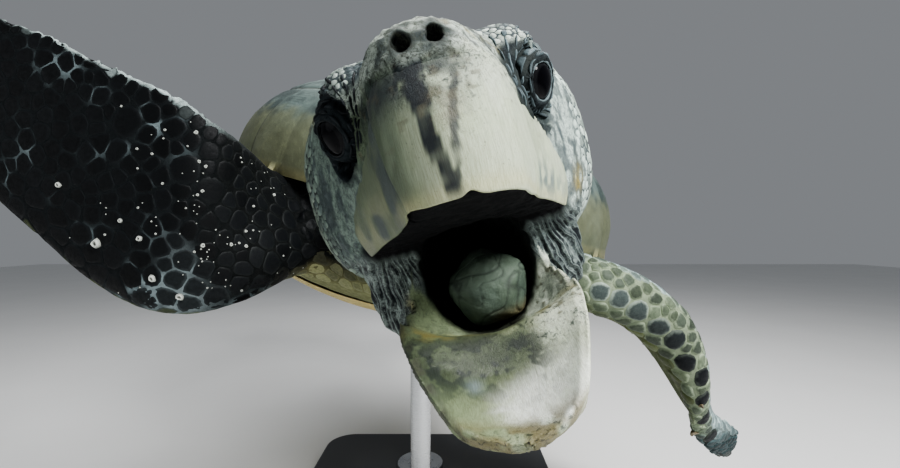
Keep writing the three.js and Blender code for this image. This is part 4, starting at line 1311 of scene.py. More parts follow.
def build_skin():
    points, faces = skin_mesh()
    normals = normals_of(points, faces)
    paint = paint_skin(points, normals)
    points = points + mould_skin(points)[:, None] * normals
    piece = meshed("skin", points, faces, skin_material())
    tone = paint["seam_tone"] + paint["bared"][:, None] * (paint["tone"] - paint["seam_tone"])
    painted(piece, tone=tone, **{name: paint[name] for name in ("seam_tone", "grain", "folded", "fold")})
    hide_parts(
        "head", "neck", "trunk", "tail", "lower_jaw", "front_flipper_left",
        "front_flipper_right", "hind_flipper_left", "hind_flipper_right",
    )  # fmt: skip
    return points, faces, paint


# ---------------------------------------------------------------- scales

# The large scales: how far along the limb, how far across towards its leading edge, which face, and size.
LARGE_SCALES = {
    "front_left": [
        (0.26, 0.99, 1, 24), (0.324, 0.99, 1, 25), (0.399, 0.97, 1, 28), (0.466, 0.97, 1, 28),
        (0.529, 0.97, 1, 29), (0.608, 0.97, 1, 31), (0.68, 0.99, -1, 30), (0.745, 0.99, -1, 26),
        (0.806, 0.8, -1, 26), (0.858, 0.5, -1, 24), (0.83, 0.97, -1, 22), (0.89, 0.9, -1, 18),
    ],
    "front_right": [
        (0.547, -0.59, 1, 26), (0.416, -0.48, 1, 26), (0.365, -0.4, 1, 25), (0.35, -0.66, 1, 20),
        (0.46, -0.75, 1, 20), (0.62, 0.8, 1, 20), (0.7, 0.8, 1, 19), (0.54, 0.84, 1, 22), (0.46, 0.86, 1, 22),
    ],
}  # fmt: skip
# Spots tried for each scale's area, neighbours that can bound a scale, how sharp its corners are.
CANDIDATES, NEIGHBOURS, CORNER_SHARPNESS = 9, 16, 14
UV_PATCH = 0.0015


def limb_spot(limb, t, u, face):
    """A point on a limb's surface, on the face that 1 or -1 chooses."""
    t = np.array([t])
    out = limb.at_t(limb.half_thick, t) * face * (1 - abs(u) ** limb.squareness) ** (1 / limb.squareness)
    at, lead, normal = (limb.at_t(values, t)[0] for values in (limb.at, limb.lead, limb.normal))
    return at + lead * u * limb.at_t(limb.half_chord, t)[0] + normal * out[0]


def scattered(points, faces, normals, paint):
    """Middles of scales over the skin, big ones first, each with the vertex whose paint it takes."""
    corners = points[faces]
    one, two = corners[:, 1] - corners[:, 0], corners[:, 2] - corners[:, 0]
    area = np.linalg.norm(np.cross(one, two), axis=1) / 2
    spacing = paint["spacing"][faces].min(1)
    wanted = np.where(spacing > 1, CANDIDATES * area / np.maximum(spacing, 1) ** 2, 0)
    which = np.repeat(np.arange(len(faces)), np.floor(wanted + random.random(len(wanted))).astype(int))
    a, b = random.random((2, len(which), 1))
    a, b = np.where(a + b > 1, 1 - a, a), np.where(a + b > 1, 1 - b, b)
    spots = corners[which, 0] + a * one[which] + b * two[which]
    vertex = faces[which, 0]
    size = spacing[which] * (0.78 + 0.5 * random.random(len(which)))
    large = [
        (limb_spot(LIMBS[name][0], *place), big)
        for name, specs in LARGE_SCALES.items()
        for *place, big in specs
    ]
    tree = tree_of(points)
    nearest = [tree.find(spot)[1] for spot, _ in large]
    spots = np.vstack([points[nearest], spots])
    vertex = np.concatenate([nearest, vertex])
    size = np.concatenate([[big for _, big in large], size])
    forced = np.arange(len(spots)) < len(large)
    tree = tree_of(spots)
    taken = np.zeros(len(spots), bool)
    kept = []
    for i in np.argsort(-size - 100 * forced):
        if not taken[i]:
            kept.append(i)
            for _, j, away in tree.find_range(spots[i], size[i]):
                if away < 0.5 * (size[i] + size[j]) and normals[vertex[i]] @ normals[vertex[j]] > 0:
                    taken[j] = True
    return spots[kept], vertex[kept], size[kept], forced[kept]


def outlines(spots, ways, size, angles):
    """How far each scale reaches at each angle round it before it meets its neighbours."""
    tree = tree_of(spots)
    near = np.zeros((len(spots), NEIGHBOURS), int)
    for i, spot in enumerate(spots):
        found = [j for _, j, _ in tree.find_n(spot, NEIGHBOURS + 1) if j != i]
        near[i, : len(found)] = found[:NEIGHBOURS]
        near[i, len(found) :] = found[0]
    across = spots[near] - spots[:, None]
    away = np.linalg.norm(across, axis=2)
    same_face = (ways[:, None, 2] * ways[near][:, :, 2]).sum(2) > 0
    flat = np.stack([(across * ways[:, None, axis]).sum(2) for axis in (0, 1)], axis=2)
    flat /= np.maximum(np.linalg.norm(flat, axis=2, keepdims=True), 1e-6)
    half = (away**2 + (size[:, None] / 2) ** 2 - (size[near] / 2) ** 2) / (2 * np.maximum(away, 1e-6))
    half = np.maximum(np.where(same_face, half, 1e3), 0.2 * size[:, None])
    turn = np.stack([np.cos(angles), np.sin(angles)], axis=1)
    facing = np.maximum(np.einsum("ijk,lk->ijl", flat, turn), 0) / half[:, :, None]
    met = np.maximum((facing**CORNER_SHARPNESS).sum(1), 1e-18) ** (-1 / CORNER_SHARPNESS)
    return np.minimum(met, 0.85 * size[:, None])


def ring_faces(count, corners, rings):
    """Faces of many small nets alike, each of rings of corners round a middle point."""
    quads, fans = [], []
    for ring in range(rings):
        for k in range(corners):
            a, b = ring * corners + k, ring * corners + (k + 1) % corners
            if ring + 1 < rings:
                quads.append((a, b, b + corners, a + corners))
            else:
                fans.append((a, b, rings * corners))
    base = (np.arange(count) * (rings * corners + 1))[:, None, None]
    return (np.array(quads) + base).reshape(-1, 4).tolist() + (np.array(fans) + base).reshape(-1, 3).tolist()


def laid_out(piece, roots, spread, turn):
    """The layer for baking: each small net a patch at its root's place on the unwrap of the skin."""
    patch = UV_PATCH * spread[:, None] * np.stack([np.cos(turn), np.sin(turn)], axis=1)
    uv = (unwrapped(roots)[:, None] + patch).reshape(-1, 2)
    layer = piece.data.uv_layers.new(name="OFBake")
    corner = np.empty(len(piece.data.loops), np.int32)
    piece.data.loops.foreach_get("vertex_index", corner)
    layer.data.foreach_set("uv", uv[corner].ravel().astype(np.float32))


def build_lid_rim(side):
    """The bare margin of an eye's lids, a thin roll on the eyeball."""
    rows, columns = 96, 12
    eye, gaze, bill, up = eye_axes(side)
    around, turn = np.meshgrid(angles_round(rows), angles_round(columns), indexing="ij")
    at_bill, upwards = LID_OPENING[0] * np.cos(around), LID_OPENING[1] * np.sin(around)
    front = np.sqrt((EYE_RADIUS + 0.7) ** 2 - at_bill**2 - upwards**2)
    middle = front[..., None] * gaze + at_bill[..., None] * bill + upwards[..., None] * up
    out = unit(middle)
    onward = unit(np.roll(middle, -1, axis=0) - middle)
    beside = np.cross(out, onward)
    thick = 0.55 + 0.1 * np.sin(5 * around)[..., None] + 0.08 * np.sin(11 * around)[..., None]
    roll = middle + thick * (np.cos(turn)[..., None] * 1.15 * beside + np.sin(turn)[..., None] * out)
    points = np.concatenate([roll, roll[:1]]).reshape(-1, 3) + eye
    faces = facing_out(points, net_faces(rows + 1, columns, closed=True))
    name = "lid_rim_left" if side > 0 else "lid_rim_right"
    piece = meshed(name, HEAD.outside(points), faces, scale_material(name))
    # The left lids' rim pale; the right one painted near black, as painted shade over the right eye.
    tone = np.array([0.16, 0.2, 0.21] if side > 0 else [0.012, 0.015, 0.017])
    painted(
        piece, tone=np.tile(tone, (len(points), 1)), seam_tone=np.tile(tone * 1.4, (len(points), 1)),
        middle=np.ones(len(points)),
    )  # fmt: skip
    roots = HEAD.outside(middle.reshape(-1, 3) + eye)
    laid_out(piece, np.concatenate([roots, roots[:columns]]), np.zeros(1), np.zeros(1))


def wrinkle_specs():
    """Ridges and beads round an eye: angle, radius, half width, half length and rise of each."""
    specs = []
    for ring in range(8):
        radius, angle = 12.7 + 2.15 * ring + 0.09 * ring**2, math.radians(-75 + 8 * ring)
        while angle < math.radians(205 - 19 * ring):
            half = 2.2 + 3.6 * random.random()
            half_out = 0.48 + 0.4 * smoothstep(0.4, 1.3, angle)
            specs.append((angle + half / radius, radius + random.normal(0, 0.22), half_out, half, 1.0))
            angle += 1.96 * half / radius
    for k in range(13):
        angle = math.radians(-150 + 10.5 * k)
        specs.append((angle, 14.4, 1.7, 0.9, 1.0))
        specs.append((angle + 0.1, 19.0, 1.8, 1.1, 0.9))
    return specs


# Rays towards the face start this far before the eye; a ridge is left out where its ground lies deeper
# than the second number, or isn't level enough.
RAY_START, DEEPEST, LEVEL = 40, 56, 7


def build_wrinkles(solid):
    """Ridges over and before each eye, and two rows of beads under it."""
    specs = wrinkle_specs()
    corners = 14
    angles = angles_round(corners)
    steps, heights = (1, 0.8, 0.45), (-0.4, 0.6, 0.95)
    cells, roots, tones = [], [], []
    for side in (1, -1):
        eye, gaze, bill, up = eye_axes(side)
        inwards = -HEAD.turn @ gaze
        # Round the right eye the ground is painted near black, as painted shade over that eye.
        ground = np.array([0.085, 0.11, 0.118] if side > 0 else [0.012, 0.015, 0.017])
        for angle, radius, half_out, half_round, rise in specs:
            reach = np.append(radius + half_out * np.cos(angles), radius)[:, None]
            bend = np.append(angle + half_round * np.sin(angles) / radius, angle)[:, None]
            spots = eye + RAY_START * gaze + reach * (np.cos(bend) * bill + np.sin(bend) * up)
            found = [solid.ray_cast(spot, inwards) for spot in HEAD.outside(spots)]
            depths = [f[3] if f[0] is not None else 100 for f in found]
            if max(depths) > DEEPEST or max(depths) - min(depths) > LEVEL + 3 * half_out:
                continue
            root, way = np.array(found[-1][0]), np.array(found[-1][1])
            rim = np.array([f[0] for f in found[:-1]])
            rings = [
                root + step * (rim - root) + height * (rise if height > 0 else 1) * way
                for step, height in zip(steps, heights)
            ]
            cells.append(np.vstack([*rings, root + rise * way]))
            roots.append(root)
            tones.append(ground * (0.5 + random.random()))
        build_lid_rim(side)
    faces = ring_faces(len(cells), corners, len(steps))
    piece = meshed("eye_wrinkles", np.concatenate(cells), faces, scale_material("eye_wrinkles"))
    tones = np.array(tones)
    per = len(cells[0])
    painted(
        piece, tone=np.repeat(tones * 1.5, per, 0), seam_tone=np.repeat(tones * 0.25, per, 0),
        middle=np.tile(np.append(np.repeat(1 - np.array(steps), corners), 1), len(cells)),
    )  # fmt: skip
    spread, turn = np.append(np.repeat(steps, corners), 0), np.append(np.tile(angles, len(steps)), 0)
    laid_out(piece, np.array(roots), spread, turn)


# The large barnacles: their places as for the large scales, and their sizes.
BARNACLES = [
    (0.514, 0.56, 1, 4.6), (0.44, 0.3, 1, 3), (0.4, 0.62, 1, 3.2), (0.36, 0.75, 1, 3.4), (0.6, 0.3, 1, 2.6),
]  # fmt: skip


def build_barnacles(points, paint, solid):
    """Small craters of lime on the front flippers."""
    right = LIMBS["front_right"][0]
    spots = [(limb_spot(right, *place), size) for *place, size in BARNACLES]
    for name, number, count in (("front_right", RIGHT_GROUP, 170), ("front_left", LEFT_GROUP, 14)):
        limb = LIMBS[name][0]
        sites = np.flatnonzero(paint["group"] == number)
        t, across, _, _ = limb.coordinates(points[sites])
        half = limb.at_t(limb.half_chord, t)
        weight = bump(t, 0.37, 0.13) * (noise(points[sites], 45, 58) > -0.2) * (np.abs(across / half) < 0.9)
        chosen = random.choice(sites, count, replace=False, p=weight / weight.sum())
        spots += [(points[i], 0.55 + 1.5 * random.random() ** 4) for i in chosen]
    corners = 10
    angles = angles_round(corners)
    steps, heights = (1.15, 0.95, 0.66, 0.52, 0.36), (-0.3, 0.25, 0.7, 0.62, 0.2)
    cells, roots = [], []
    for spot, size in spots:
        found = solid.find_nearest(spot)
        root, way = np.array(found[0]) + 0.5 * np.array(found[1]), np.array(found[1])
        one = unit(np.cross(way, random.normal(size=3)))
        two = np.cross(way, one)
        wobble = 1 + 0.12 * random.normal(size=corners)
        rim = (np.cos(angles) * wobble)[:, None] * one + (np.sin(angles) * wobble)[:, None] * two
        rings = [root + size * (step * rim + height * way) for step, height in zip(steps, heights)]
        cells.append(np.vstack([*rings, root + 0.1 * size * way]))
        roots.append(root)
    faces = ring_faces(len(cells), corners, len(steps))
    piece = meshed("barnacles", np.concatenate(cells), faces, barnacle_material())
    height = np.append(np.repeat([0.0, 0.5, 1.0, 0.8, 0.1], corners), 0)
    painted(piece, height=np.tile(height, len(cells)))
    spread = np.append(np.repeat(steps, corners) / steps[0], 0)
    turn = np.append(np.tile(angles, len(steps)), 0)
    laid_out(piece, np.array(roots), spread, turn)


def build_scales(points, faces, paint):
    normals = normals_of(points, faces)
    spots, vertex, size, forced = scattered(points, faces, normals, paint)
    up = normals[vertex]
    one = unit(np.cross(up, random.normal(size=up.shape)))
    ways = np.stack([one, np.cross(up, one), up], axis=1)
    solid = BVHTree.FromPolygons(points.tolist(), faces.tolist())
    group = paint["group"][vertex]
    specs = (
        ("scales_head", HEAD_GROUP, 10, (1, 0.74), (-0.35, 0.75)),
        ("scales_front_right", RIGHT_GROUP, 13, (1, 0.95, 0.78, 0.4), (-0.5, 0.3, 0.85, 1)),
        ("scales_front_left", LEFT_GROUP, 13, (1, 0.95, 0.78, 0.4), (-0.5, 0.3, 0.85, 1)),
        ("scales_hind", HIND_GROUP, 11, (1, 0.93, 0.6), (-0.5, 0.5, 1)),
        ("scales_neck", NECK_GROUP, 11, (1, 0.93, 0.6), (-0.5, 0.5, 1)),
    )
    for name, number, corners, steps, heights in specs:
        angles = angles_round(corners)
        reach = outlines(spots, ways, size, angles)
        chosen = group == number
        at, way, reach = spots[chosen], ways[chosen], reach[chosen]
        reach = reach[:, :, None] * 0.98 - 0.12
        cos, sin = np.cos(angles)[None, :, None], np.sin(angles)[None, :, None]
        rim = at[:, None] + reach * (cos * way[:, None, 0] + sin * way[:, None, 1])
        found = [solid.find_nearest(spot) for spot in rim.reshape(-1, 3)]
        rim = np.array([f[0] for f in found]).reshape(rim.shape)
        rim_up = np.array([f[1] for f in found]).reshape(rim.shape)
        middle_up = way[:, None, 2]
        sag = ((rim - at[:, None]) * middle_up).sum(2)[:, :, None] * middle_up
        rise = (paint["rise"][vertex[chosen]] * (0.75 + 0.5 * random.random(len(at))))[:, None, None]
        rings = []
        for step, height in zip(steps, heights):
            level = at[:, None] + step * (rim - at[:, None] - sag) + step * step * sag
            lift = height * (rise if height > 0 else 1)
            rings.append(level + lift * unit(step * rim_up + (1 - step) * middle_up))
        centre = at[:, None] + rise * middle_up
        cells = np.concatenate([*rings, centre], axis=1)
        per = cells.shape[1]
        all_faces = ring_faces(len(at), corners, len(steps))
        piece = meshed(name, cells.reshape(-1, 3), all_faces, scale_material(name))
        shade = (0.62 + 0.76 * random.random(len(at)))[:, None]
        tone = paint["tone"][vertex[chosen]] * shade
        rim_tone = paint["rim"][vertex[chosen]] * (0.5 + shade / 2)
        big = np.flatnonzero(forced[chosen] & (number == LEFT_GROUP))
        onward = smoothstep(0.3, 0.62, LIMBS["front_left"][0].coordinates(at[big])[0])
        tone[big] = coated((0.075, 0.095, 0.09), (onward, (0.006, 0.008, 0.01)))
        rim_tone[big] = coated((0.36, 0.43, 0.36), (onward, (0.06, 0.07, 0.06)))
        middle = np.append(np.repeat(1 - np.array(steps), corners), 1)
        spread, turn = np.append(np.repeat(steps, corners), 0), np.append(np.tile(angles, len(steps)), 0)
        painted(
            piece, tone=np.repeat(tone, per, 0), seam_tone=np.repeat(rim_tone, per, 0),
            middle=np.tile(middle, len(at)),
        )  # fmt: skip
        laid_out(piece, at, spread, turn)
    build_wrinkles(solid)
    build_barnacles(points, paint, solid)


# Where each part of the skin lies on its unwrap: the lower left corner and the size.
CHARTS = {
    "head": ((0.01, 0.71), (0.6, 0.28)), "neck": ((0.63, 0.71), (0.36, 0.28)),
    "front_right": ((0.01, 0.36), (0.48, 0.33)), "front_left": ((0.51, 0.36), (0.48, 0.33)),
    "hind_left": ((0.01, 0.01), (0.32, 0.33)), "hind_right": ((0.34, 0.01), (0.32, 0.33)),
    "tail": ((0.67, 0.01), (0.32, 0.33)),
}  # fmt: skip


def unwrapped(world):
    """The place of each point on an unwrap of the skin: each limb rolled open, the head round its axis."""
    uv = np.zeros((len(world), 2))
    best = np.full(len(world), 1e9)
    head = HEAD.inside(world)
    for name, (corner, size) in CHARTS.items():
        if name == "head":
            distance = np.where((head[:, 1] < 240) & (np.abs(head) < 260).all(1), np.abs(skull(head)), 1e6)
            along = (head[:, 1] + 20) / 270
            around = np.arctan2(head[:, 0], head[:, 2] - 10)
        else:
            limb = LIMBS[name][0]
            along, across, out, over = limb.coordinates(world)
            distance = np.abs(limb(world)) + over
            half, thick = limb.at_t(limb.half_chord, along), limb.at_t(limb.half_thick, along)
            around = np.arctan2(out / thick, across / half)
        nearer = distance < best
        best[nearer] = distance[nearer]
        place = np.stack([np.clip(around / TURN + 0.5, 0, 1), np.clip(along, 0, 1)], axis=1) * size + corner
        uv[nearer] = place[nearer]
    return uv


# ---------------------------------------------------------------- nets of points


def net_faces(rows, columns, closed):
    """Quads over a grid of points, its columns joined round if closed."""
    joined = columns if closed else columns - 1
    row, column = np.meshgrid(np.arange(rows - 1) * columns, np.arange(joined), indexing="ij")
    after = (column + 1) % columns
    quads = [row + column, row + after, row + columns + after, row + columns + column]
    return np.stack([q.ravel() for q in quads], axis=1)


def net_normals(points, faces):
    halves = np.concatenate([faces[:, [0, 1, 2]], faces[:, [0, 2, 3]]])
    return normals_of(points, halves)


def facing_out(points, faces):
    a, b, c, d = (points[faces[:, k]] for k in range(4))
    volume = (a * np.cross(b, c)).sum() + (a * np.cross(c, d)).sum()
    return faces if volume > 0 else faces[:, ::-1]


# ---------------------------------------------------------------- the horn of the beak

BEAK_AXIS = 70


def snout_surface(turn, height):
    """Where a level ray from the beak's axis, turned from straight ahead, leaves the skull."""
    low, high = np.full(turn.shape, 4.0), np.full(turn.shape, 130.0)
    for _ in range(26):
        middle = (low + high) / 2
        points = np.stack([middle * np.sin(turn), BEAK_AXIS - middle * np.cos(turn), height], axis=-1)
        within = (skull_measure(points.reshape(-1, 3)) < 0).reshape(turn.shape)
        low, high = np.where(within, middle, low), np.where(within, high, middle)
    return low


# The horn's upper border on the right side, as (y, z) points.
BORDER_RIGHT = [
    (8, 48), (22, 49), (35, 43), (52, 34), (66, 26), (76, 22), (90, 14), (100, 4), (108.5, -7.5), (112, -16),
]  # fmt: skip


def border_height(x, y):
    runs, heights = np.array(BEAK_BACK[1:-1], float).T
    return np.where(x < 0, np.interp(y, *np.array(BORDER_RIGHT, float).T), np.interp(y, runs, heights))


def paint_upper_horn(head):
    x, y, z = head.T
    cloud, grit = noise(head, 14, 20), noise(head, 4, 21)
    edge = z - tomium_height(y)
    blue = bump(x, 40, 14) * bump(edge, 9, 7) * smoothstep(34, 50, y) * smoothstep(-0.5, 0.3, grit)
    side = groove_depth(head)[1]
    return coated(
        bill_tone(head),
        (blue * 0.85, (0.12, 0.165, 0.185)),
        (side, (0.125, 0.155, 0.1)),
        (side * smoothstep(-0.3, 0.5, cloud + 0.3 * grit) * 0.8, (0.06, 0.08, 0.085)),
        (side * bump(edge, 8, 12) * smoothstep(-0.2, 0.5, noise(head, 10, 28)) * 0.6, (0.32, 0.33, 0.2)),
    )


GROOVE = [(0, 12), (8, 13), (18, 17.6), (30, 21.6), (38, 24.3), (48, 30), (60, 40)]


def groove_depth(head):
    """The seam between the front plate and the plate behind it, on the right side only."""
    x, y, z = head.T
    across = np.where(x < 0, y - np.interp(z, *np.array(GROOVE, float).T), -99)
    return np.exp(-((across / 1.5) ** 2)) * smoothstep(52, 42, z), smoothstep(-1, 1.5, across) * (x < 0)


def build_upper_beak():
    rows, columns = 90, 260
    turns = np.radians(np.linspace(-113, 113, columns))
    low, high = np.full(columns, 0.0), np.full(columns, 50.0)
    for _ in range(12):
        for limits, height_at in ((low, lambda _, y: tomium_height(y)), (high, border_height)):
            radius = snout_surface(turns, limits)
            limits += 0.6 * (height_at(radius * np.sin(turns), BEAK_AXIS - radius * np.cos(turns)) - limits)
    high = np.maximum(high + 1.5, low + 0.8)
    across, back = radius * np.sin(turns), BEAK_AXIS - radius * np.cos(turns)
    low += 1.7 * bump(across, 1.5, 2.2) - 2.1 * bump(back, 14, 10) * smoothstep(3, 8, across)
    low += 1.6 * bump(back, 14, 7) * smoothstep(-12, -18, across) * (back < 18)
    share = np.linspace(0, 1, rows)[:, None]
    heights = low + (high - low) * share
    turn = np.broadcast_to(turns, heights.shape)
    radius = snout_surface(turn, heights)
    outer = np.stack([radius * np.sin(turn), BEAK_AXIS - radius * np.cos(turn), heights], axis=-1)
    flat = outer.reshape(-1, 3)
    quads = net_faces(rows, columns, closed=False)
    normals = net_normals(flat, quads)
    to_axis = flat * [1, 1, 0] - [0, BEAK_AXIS, 0]
    normals *= np.sign((normals * to_axis).sum(1))[:, None]
    groove, behind = groove_depth(flat)
    x, y, z = flat.T
    above = (np.repeat(share, columns, 1) * (high - low)).ravel()
    below_top = (high - heights).ravel()
    height = 1.1 * smoothstep(0, 14, below_top) - 0.7 - 1.8 * groove - 1.1 * behind * smoothstep(58, 44, z)
    grooves = 0.22 * noise(flat, (5, 5, 60), 22) + 0.1 * noise(flat, (2, 2, 30), 23)
    height += grooves + 0.4 * noise(flat, 17, 24)
    ridge = bump(x, np.interp(z, [0, 12, 23, 34], [-3, -2.2, -1, 0]), 3.2) * smoothstep(46, 30, z)
    height += 0.55 * ridge - 0.6 * bump(x, -4, 3) * smoothstep(16, 0, z)
    outer = flat + height[:, None] * normals
    thick = 1.3 + 3.5 * smoothstep(0, 18, above)
    inner = outer - thick[:, None] * unit(normals * [1, 1, 0.2])
    inner[:, 2] = np.maximum(inner[:, 2], outer[:, 2] + 0.5 - smoothstep(0, 6, above) * 0.5)
    lip = outer[:columns] * 0.5 + inner[:columns] * 0.5 - np.array([0, 0, 0.45])
    shape = (rows, columns, 3)
    rings = np.concatenate([outer.reshape(shape)[::-1], lip[None], inner.reshape(shape)])
    points = rings.reshape(-1, 3)
    faces = facing_out(points, net_faces(len(rings), columns, closed=False))
    piece = meshed("upper_horn", HEAD.outside(points), faces, horn_material("upper_horn"))
    tone = paint_upper_horn(points)
    inner_start = (rows + 1) * columns
    # The horn's inner faces painted near black, as the shade under it inside the mouth.
    tone[inner_start:] = (0.022, 0.022, 0.018)
    x, _, z = points.T
    crust = smoothstep(28, 46, z + 6 * noise(points, 9, 35)) + 0.5 * bump(x, 6, 9) * smoothstep(8, 26, z)
    crust = np.clip(crust, 0, 1)
    crust[inner_start:] = 0
    painted(piece, tone=tone, grain=points, crust=crust)
    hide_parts("upper_beak")


def paint_lower_horn(closed):
    x, y, z = closed.T
    cloud, grit, fine = noise(closed, 13, 30), noise(closed, 5, 31), noise(closed, 2.6, 34)
    warp = closed + 4 * np.stack([noise(closed, 6, 36), noise(closed, 6, 37), 0 * x], axis=1)
    patch = 0.6 * noise(warp, 11, 38) + 0.4 * noise(warp, 4.5, 39) + 0.25 * noise(closed, 1.8, 57)
    # The scoop's pale middle and its right side: their own cream, painted whiter where they face the light,
    # as painted light.
    white_and_lit = smoothstep(0.3, 0.75, bump(y, 30, 22) * bump(x, 16, 30) + 0.25 * patch)
    right = smoothstep(12, 28, x + 6 * patch) * smoothstep(20, 60, y)
    band = bump(y, 57 + 0.15 * x, 17) * smoothstep(28, 8, x) * smoothstep(-0.85, -0.25, patch)
    blotch = bump(y, 54, 20) * smoothstep(-0.1, 0.14, patch) * smoothstep(34, 10, x)
    specks = smoothstep(0.35, 0.7, fine) * smoothstep(12, 26, x) * smoothstep(50, 66, y)
    tip = smoothstep(24, 12, y + 4 * cloud) * smoothstep(-0.6, 0.2, grit)
    edge = smoothstep(0.86, 0.97, np.abs(x) / jaw_width(y))
    worn = (x < 0) * edge * smoothstep(-0.5, 0.1, grit + 0.5 * cloud)
    outside = smoothstep(0, -8, z - jaw_rim(y))
    return coated(
        (0.36, 0.41, 0.26),
        (smoothstep(0, -30, x) * 0.7, (0.17, 0.22, 0.12)),
        (white_and_lit * 0.95, (0.9, 0.93, 0.87)),
        (right * 0.85, (0.8, 0.86, 0.72)),
        (bump(y, 58, 21) * smoothstep(22, -4, x) * 0.75, (0.13, 0.165, 0.09)),
        (band * 0.95, (0.05, 0.066, 0.037)),
        (blotch * 0.92, (0.022, 0.03, 0.024)),
        (bump(y, 76, 6) * smoothstep(-0.4, 0.4, grit) * 0.8, (0.3, 0.26, 0.085)),
        (specks * 0.7, (0.14, 0.13, 0.07)),
        (bump(x, -17, 4) * bump(y, 42, 4) * 0.8, (0.2, 0.25, 0.26)),
        (tip * 0.85, (0.2, 0.165, 0.075)),
        (worn * 0.85, (0.07, 0.075, 0.05)),
        (outside * (x > 0) * edge * 0.5, (0.4, 0.38, 0.24)),
    )


def lower_horn_field(head):
    closed = shut(head)
    horn = soft_max(jaw(closed) - 0.8, chin_distance(closed), 2)
    return soft_max(horn, -ellipsoid(head, MOUTH, MOUTH_SIZE), 3)


def build_lower_beak():
    low, high = np.array([-70, 0, -150]), np.array([70, 125, -10])
    points, faces = surfaced(lower_horn_field, low, high, voxel=0.9, adaptivity=0.0)
    for share in (0.6, 0.5, 0.3):
        points = settled(lower_horn_field, relaxed(points, faces, share), limit=0.7)
    normals = normals_of(points, faces)
    closed = shut(points)
    relief = 0.35 * noise(closed, 15, 32) + 0.15 * noise(closed, 4, 33)
    points = points + relief[:, None] * normals
    piece = meshed("lower_horn", HEAD.outside(points), faces, horn_material("lower_horn"))
    x, y, _ = closed.T
    crust = smoothstep(4, 24, x) * smoothstep(46, 66, y) + 0.7 * bump(y, 62, 14) + smoothstep(22, 10, y)
    painted(piece, tone=paint_lower_horn(closed), grain=closed[:, [0, 2, 1]], crust=np.clip(crust, 0.1, 1))
    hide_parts("lower_beak")


# ---------------------------------------------------------------- eyes and tongue


def ball(rows, columns):
    """Unit directions over a sphere, as a closed net with its poles at the top and the bottom."""
    down, around = np.meshgrid(np.linspace(0, math.pi, rows), angles_round(columns), indexing="ij")
    ways = np.stack([np.sin(down) * np.cos(around), np.sin(down) * np.sin(around), np.cos(down)], axis=-1)
    return ways.reshape(-1, 3), net_faces(rows, columns, closed=True)


def build_eyes():
    for name, side in (("left", 1), ("right", -1)):
        ways, faces = ball(48, 64)
        eye, gaze, _, _ = eye_axes(side)
        facing = ways @ gaze
        points = eye + EYE_RADIUS * ways * (1 + 0.02 * smoothstep(0.8, 0.97, facing)[:, None])
        faces = facing_out(points, faces)
        piece = meshed(f"eyeball_{name}", HEAD.outside(points), faces, eye_material())
        painted(piece, gaze=facing)
        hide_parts(f"eye_{name}")


def build_tongue():
    ways, faces = ball(120, 160)
    points = ways * TONGUE_SIZE
    x, _, z = points.T
    warped = points + 5 * np.stack([noise(points, 13, seed) for seed in (40, 41, 44)], axis=1)
    crease = bump(noise(warped, 21, 45), 0, 0.03) + bump(noise(warped, 15, 49), 0, 0.03)
    crease = np.clip(crease, 0, 1)
    relief = 0.9 * noise(points, 11, 42) + 0.4 * noise(points, 4, 43) - 0.5 * crease
    relief -= 1.1 * (1 + np.cos(5 * np.arctan2(z, x) + 1.2)) * np.hypot(ways[:, 0], ways[:, 2]) ** 2
    points = points + relief[:, None] * ways
    tone = coated(
        (0.1, 0.135, 0.1),
        (smoothstep(-0.2, 0.7, noise(points, 9, 43)) * 0.6, (0.055, 0.08, 0.065)),
        (0.6 * crease, (0.02, 0.025, 0.022)),
        (smoothstep(-8, -18, z) * smoothstep(-10, 5, x) * 0.7, (0.2, 0.16, 0.08)),
    )
    head = points + TONGUE
    piece = meshed("tongue_pad", HEAD.outside(head), facing_out(head, faces), tongue_material())
    painted(piece, tone=tone)
    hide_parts("tongue")


# ---------------------------------------------------------------- the shell

# Along the shell: where a seam crosses its middle, how far that reaches to each side, where the seam
# between two side plates starts, and how far out.
PLATES = [(-226, 66, -160, 92), (-92, 60, -18, 94), (58, 58, 134, 88), (208, 50, 276, 74), (338, 40, 392, 58)]
NO_SEAM = 60
MARGINAL_REACH = 0.85
MARGINALS = 12


def rim_points(around, reach=1.0):
    """The shell's plan at a share of its reach; around turns from the front by the left side."""
    cos, sin = np.cos(around), np.sin(around)
    ahead = cos > 0
    squareness = np.where(ahead, FRONT_SQUARENESS, REAR_SQUARENESS)
    x = HALF_WIDTH * squared(sin, squareness)
    y = -np.where(ahead, AHEAD, BEHIND) * squared(cos, squareness)
    y = y + np.where(ahead, NUCHAL_NOTCH * np.exp(-((x / NUCHAL_HALF_WIDTH) ** 2)), 0)
    return np.stack([x * reach, y * reach], axis=-1)


def carapace_seams():
    """The seams between the plates, as pairs of plan points."""
    ring = rim_points(np.linspace(0, TURN, 121), MARGINAL_REACH)
    seams = list(zip(ring[:-1], ring[1:]))
    around = np.linspace(0.14, math.pi, MARGINALS + 1)
    for side in (1, -1):
        inner, outer = rim_points(around, MARGINAL_REACH), rim_points(around, 1.0)
        seams += [((side * a[0], a[1]), (side * b[0], b[1])) for a, b in zip(inner, outer)]
        zigzag = [(side * 52, -300)]
        for seam, half, costal, meeting in PLATES:
            zigzag += [(side * half, seam), (side * meeting, costal)]
            start = np.array([side * meeting, costal])
            way = np.array([side * 330, 60 + 1.05 * (costal - 60)])
            path = start + np.linspace(0, 1, 60)[:, None] * (way - start)
            inside = plan_reach(path[:, 0], path[:, 1]) <= MARGINAL_REACH
            seams.append((start, path[inside][-1]))
        zigzag.append((side * 34, 448))
        seams += list(zip(zigzag[:-1], zigzag[1:]))
    return seams + [((-half, seam), (half, seam)) for seam, half, _, _ in PLATES]


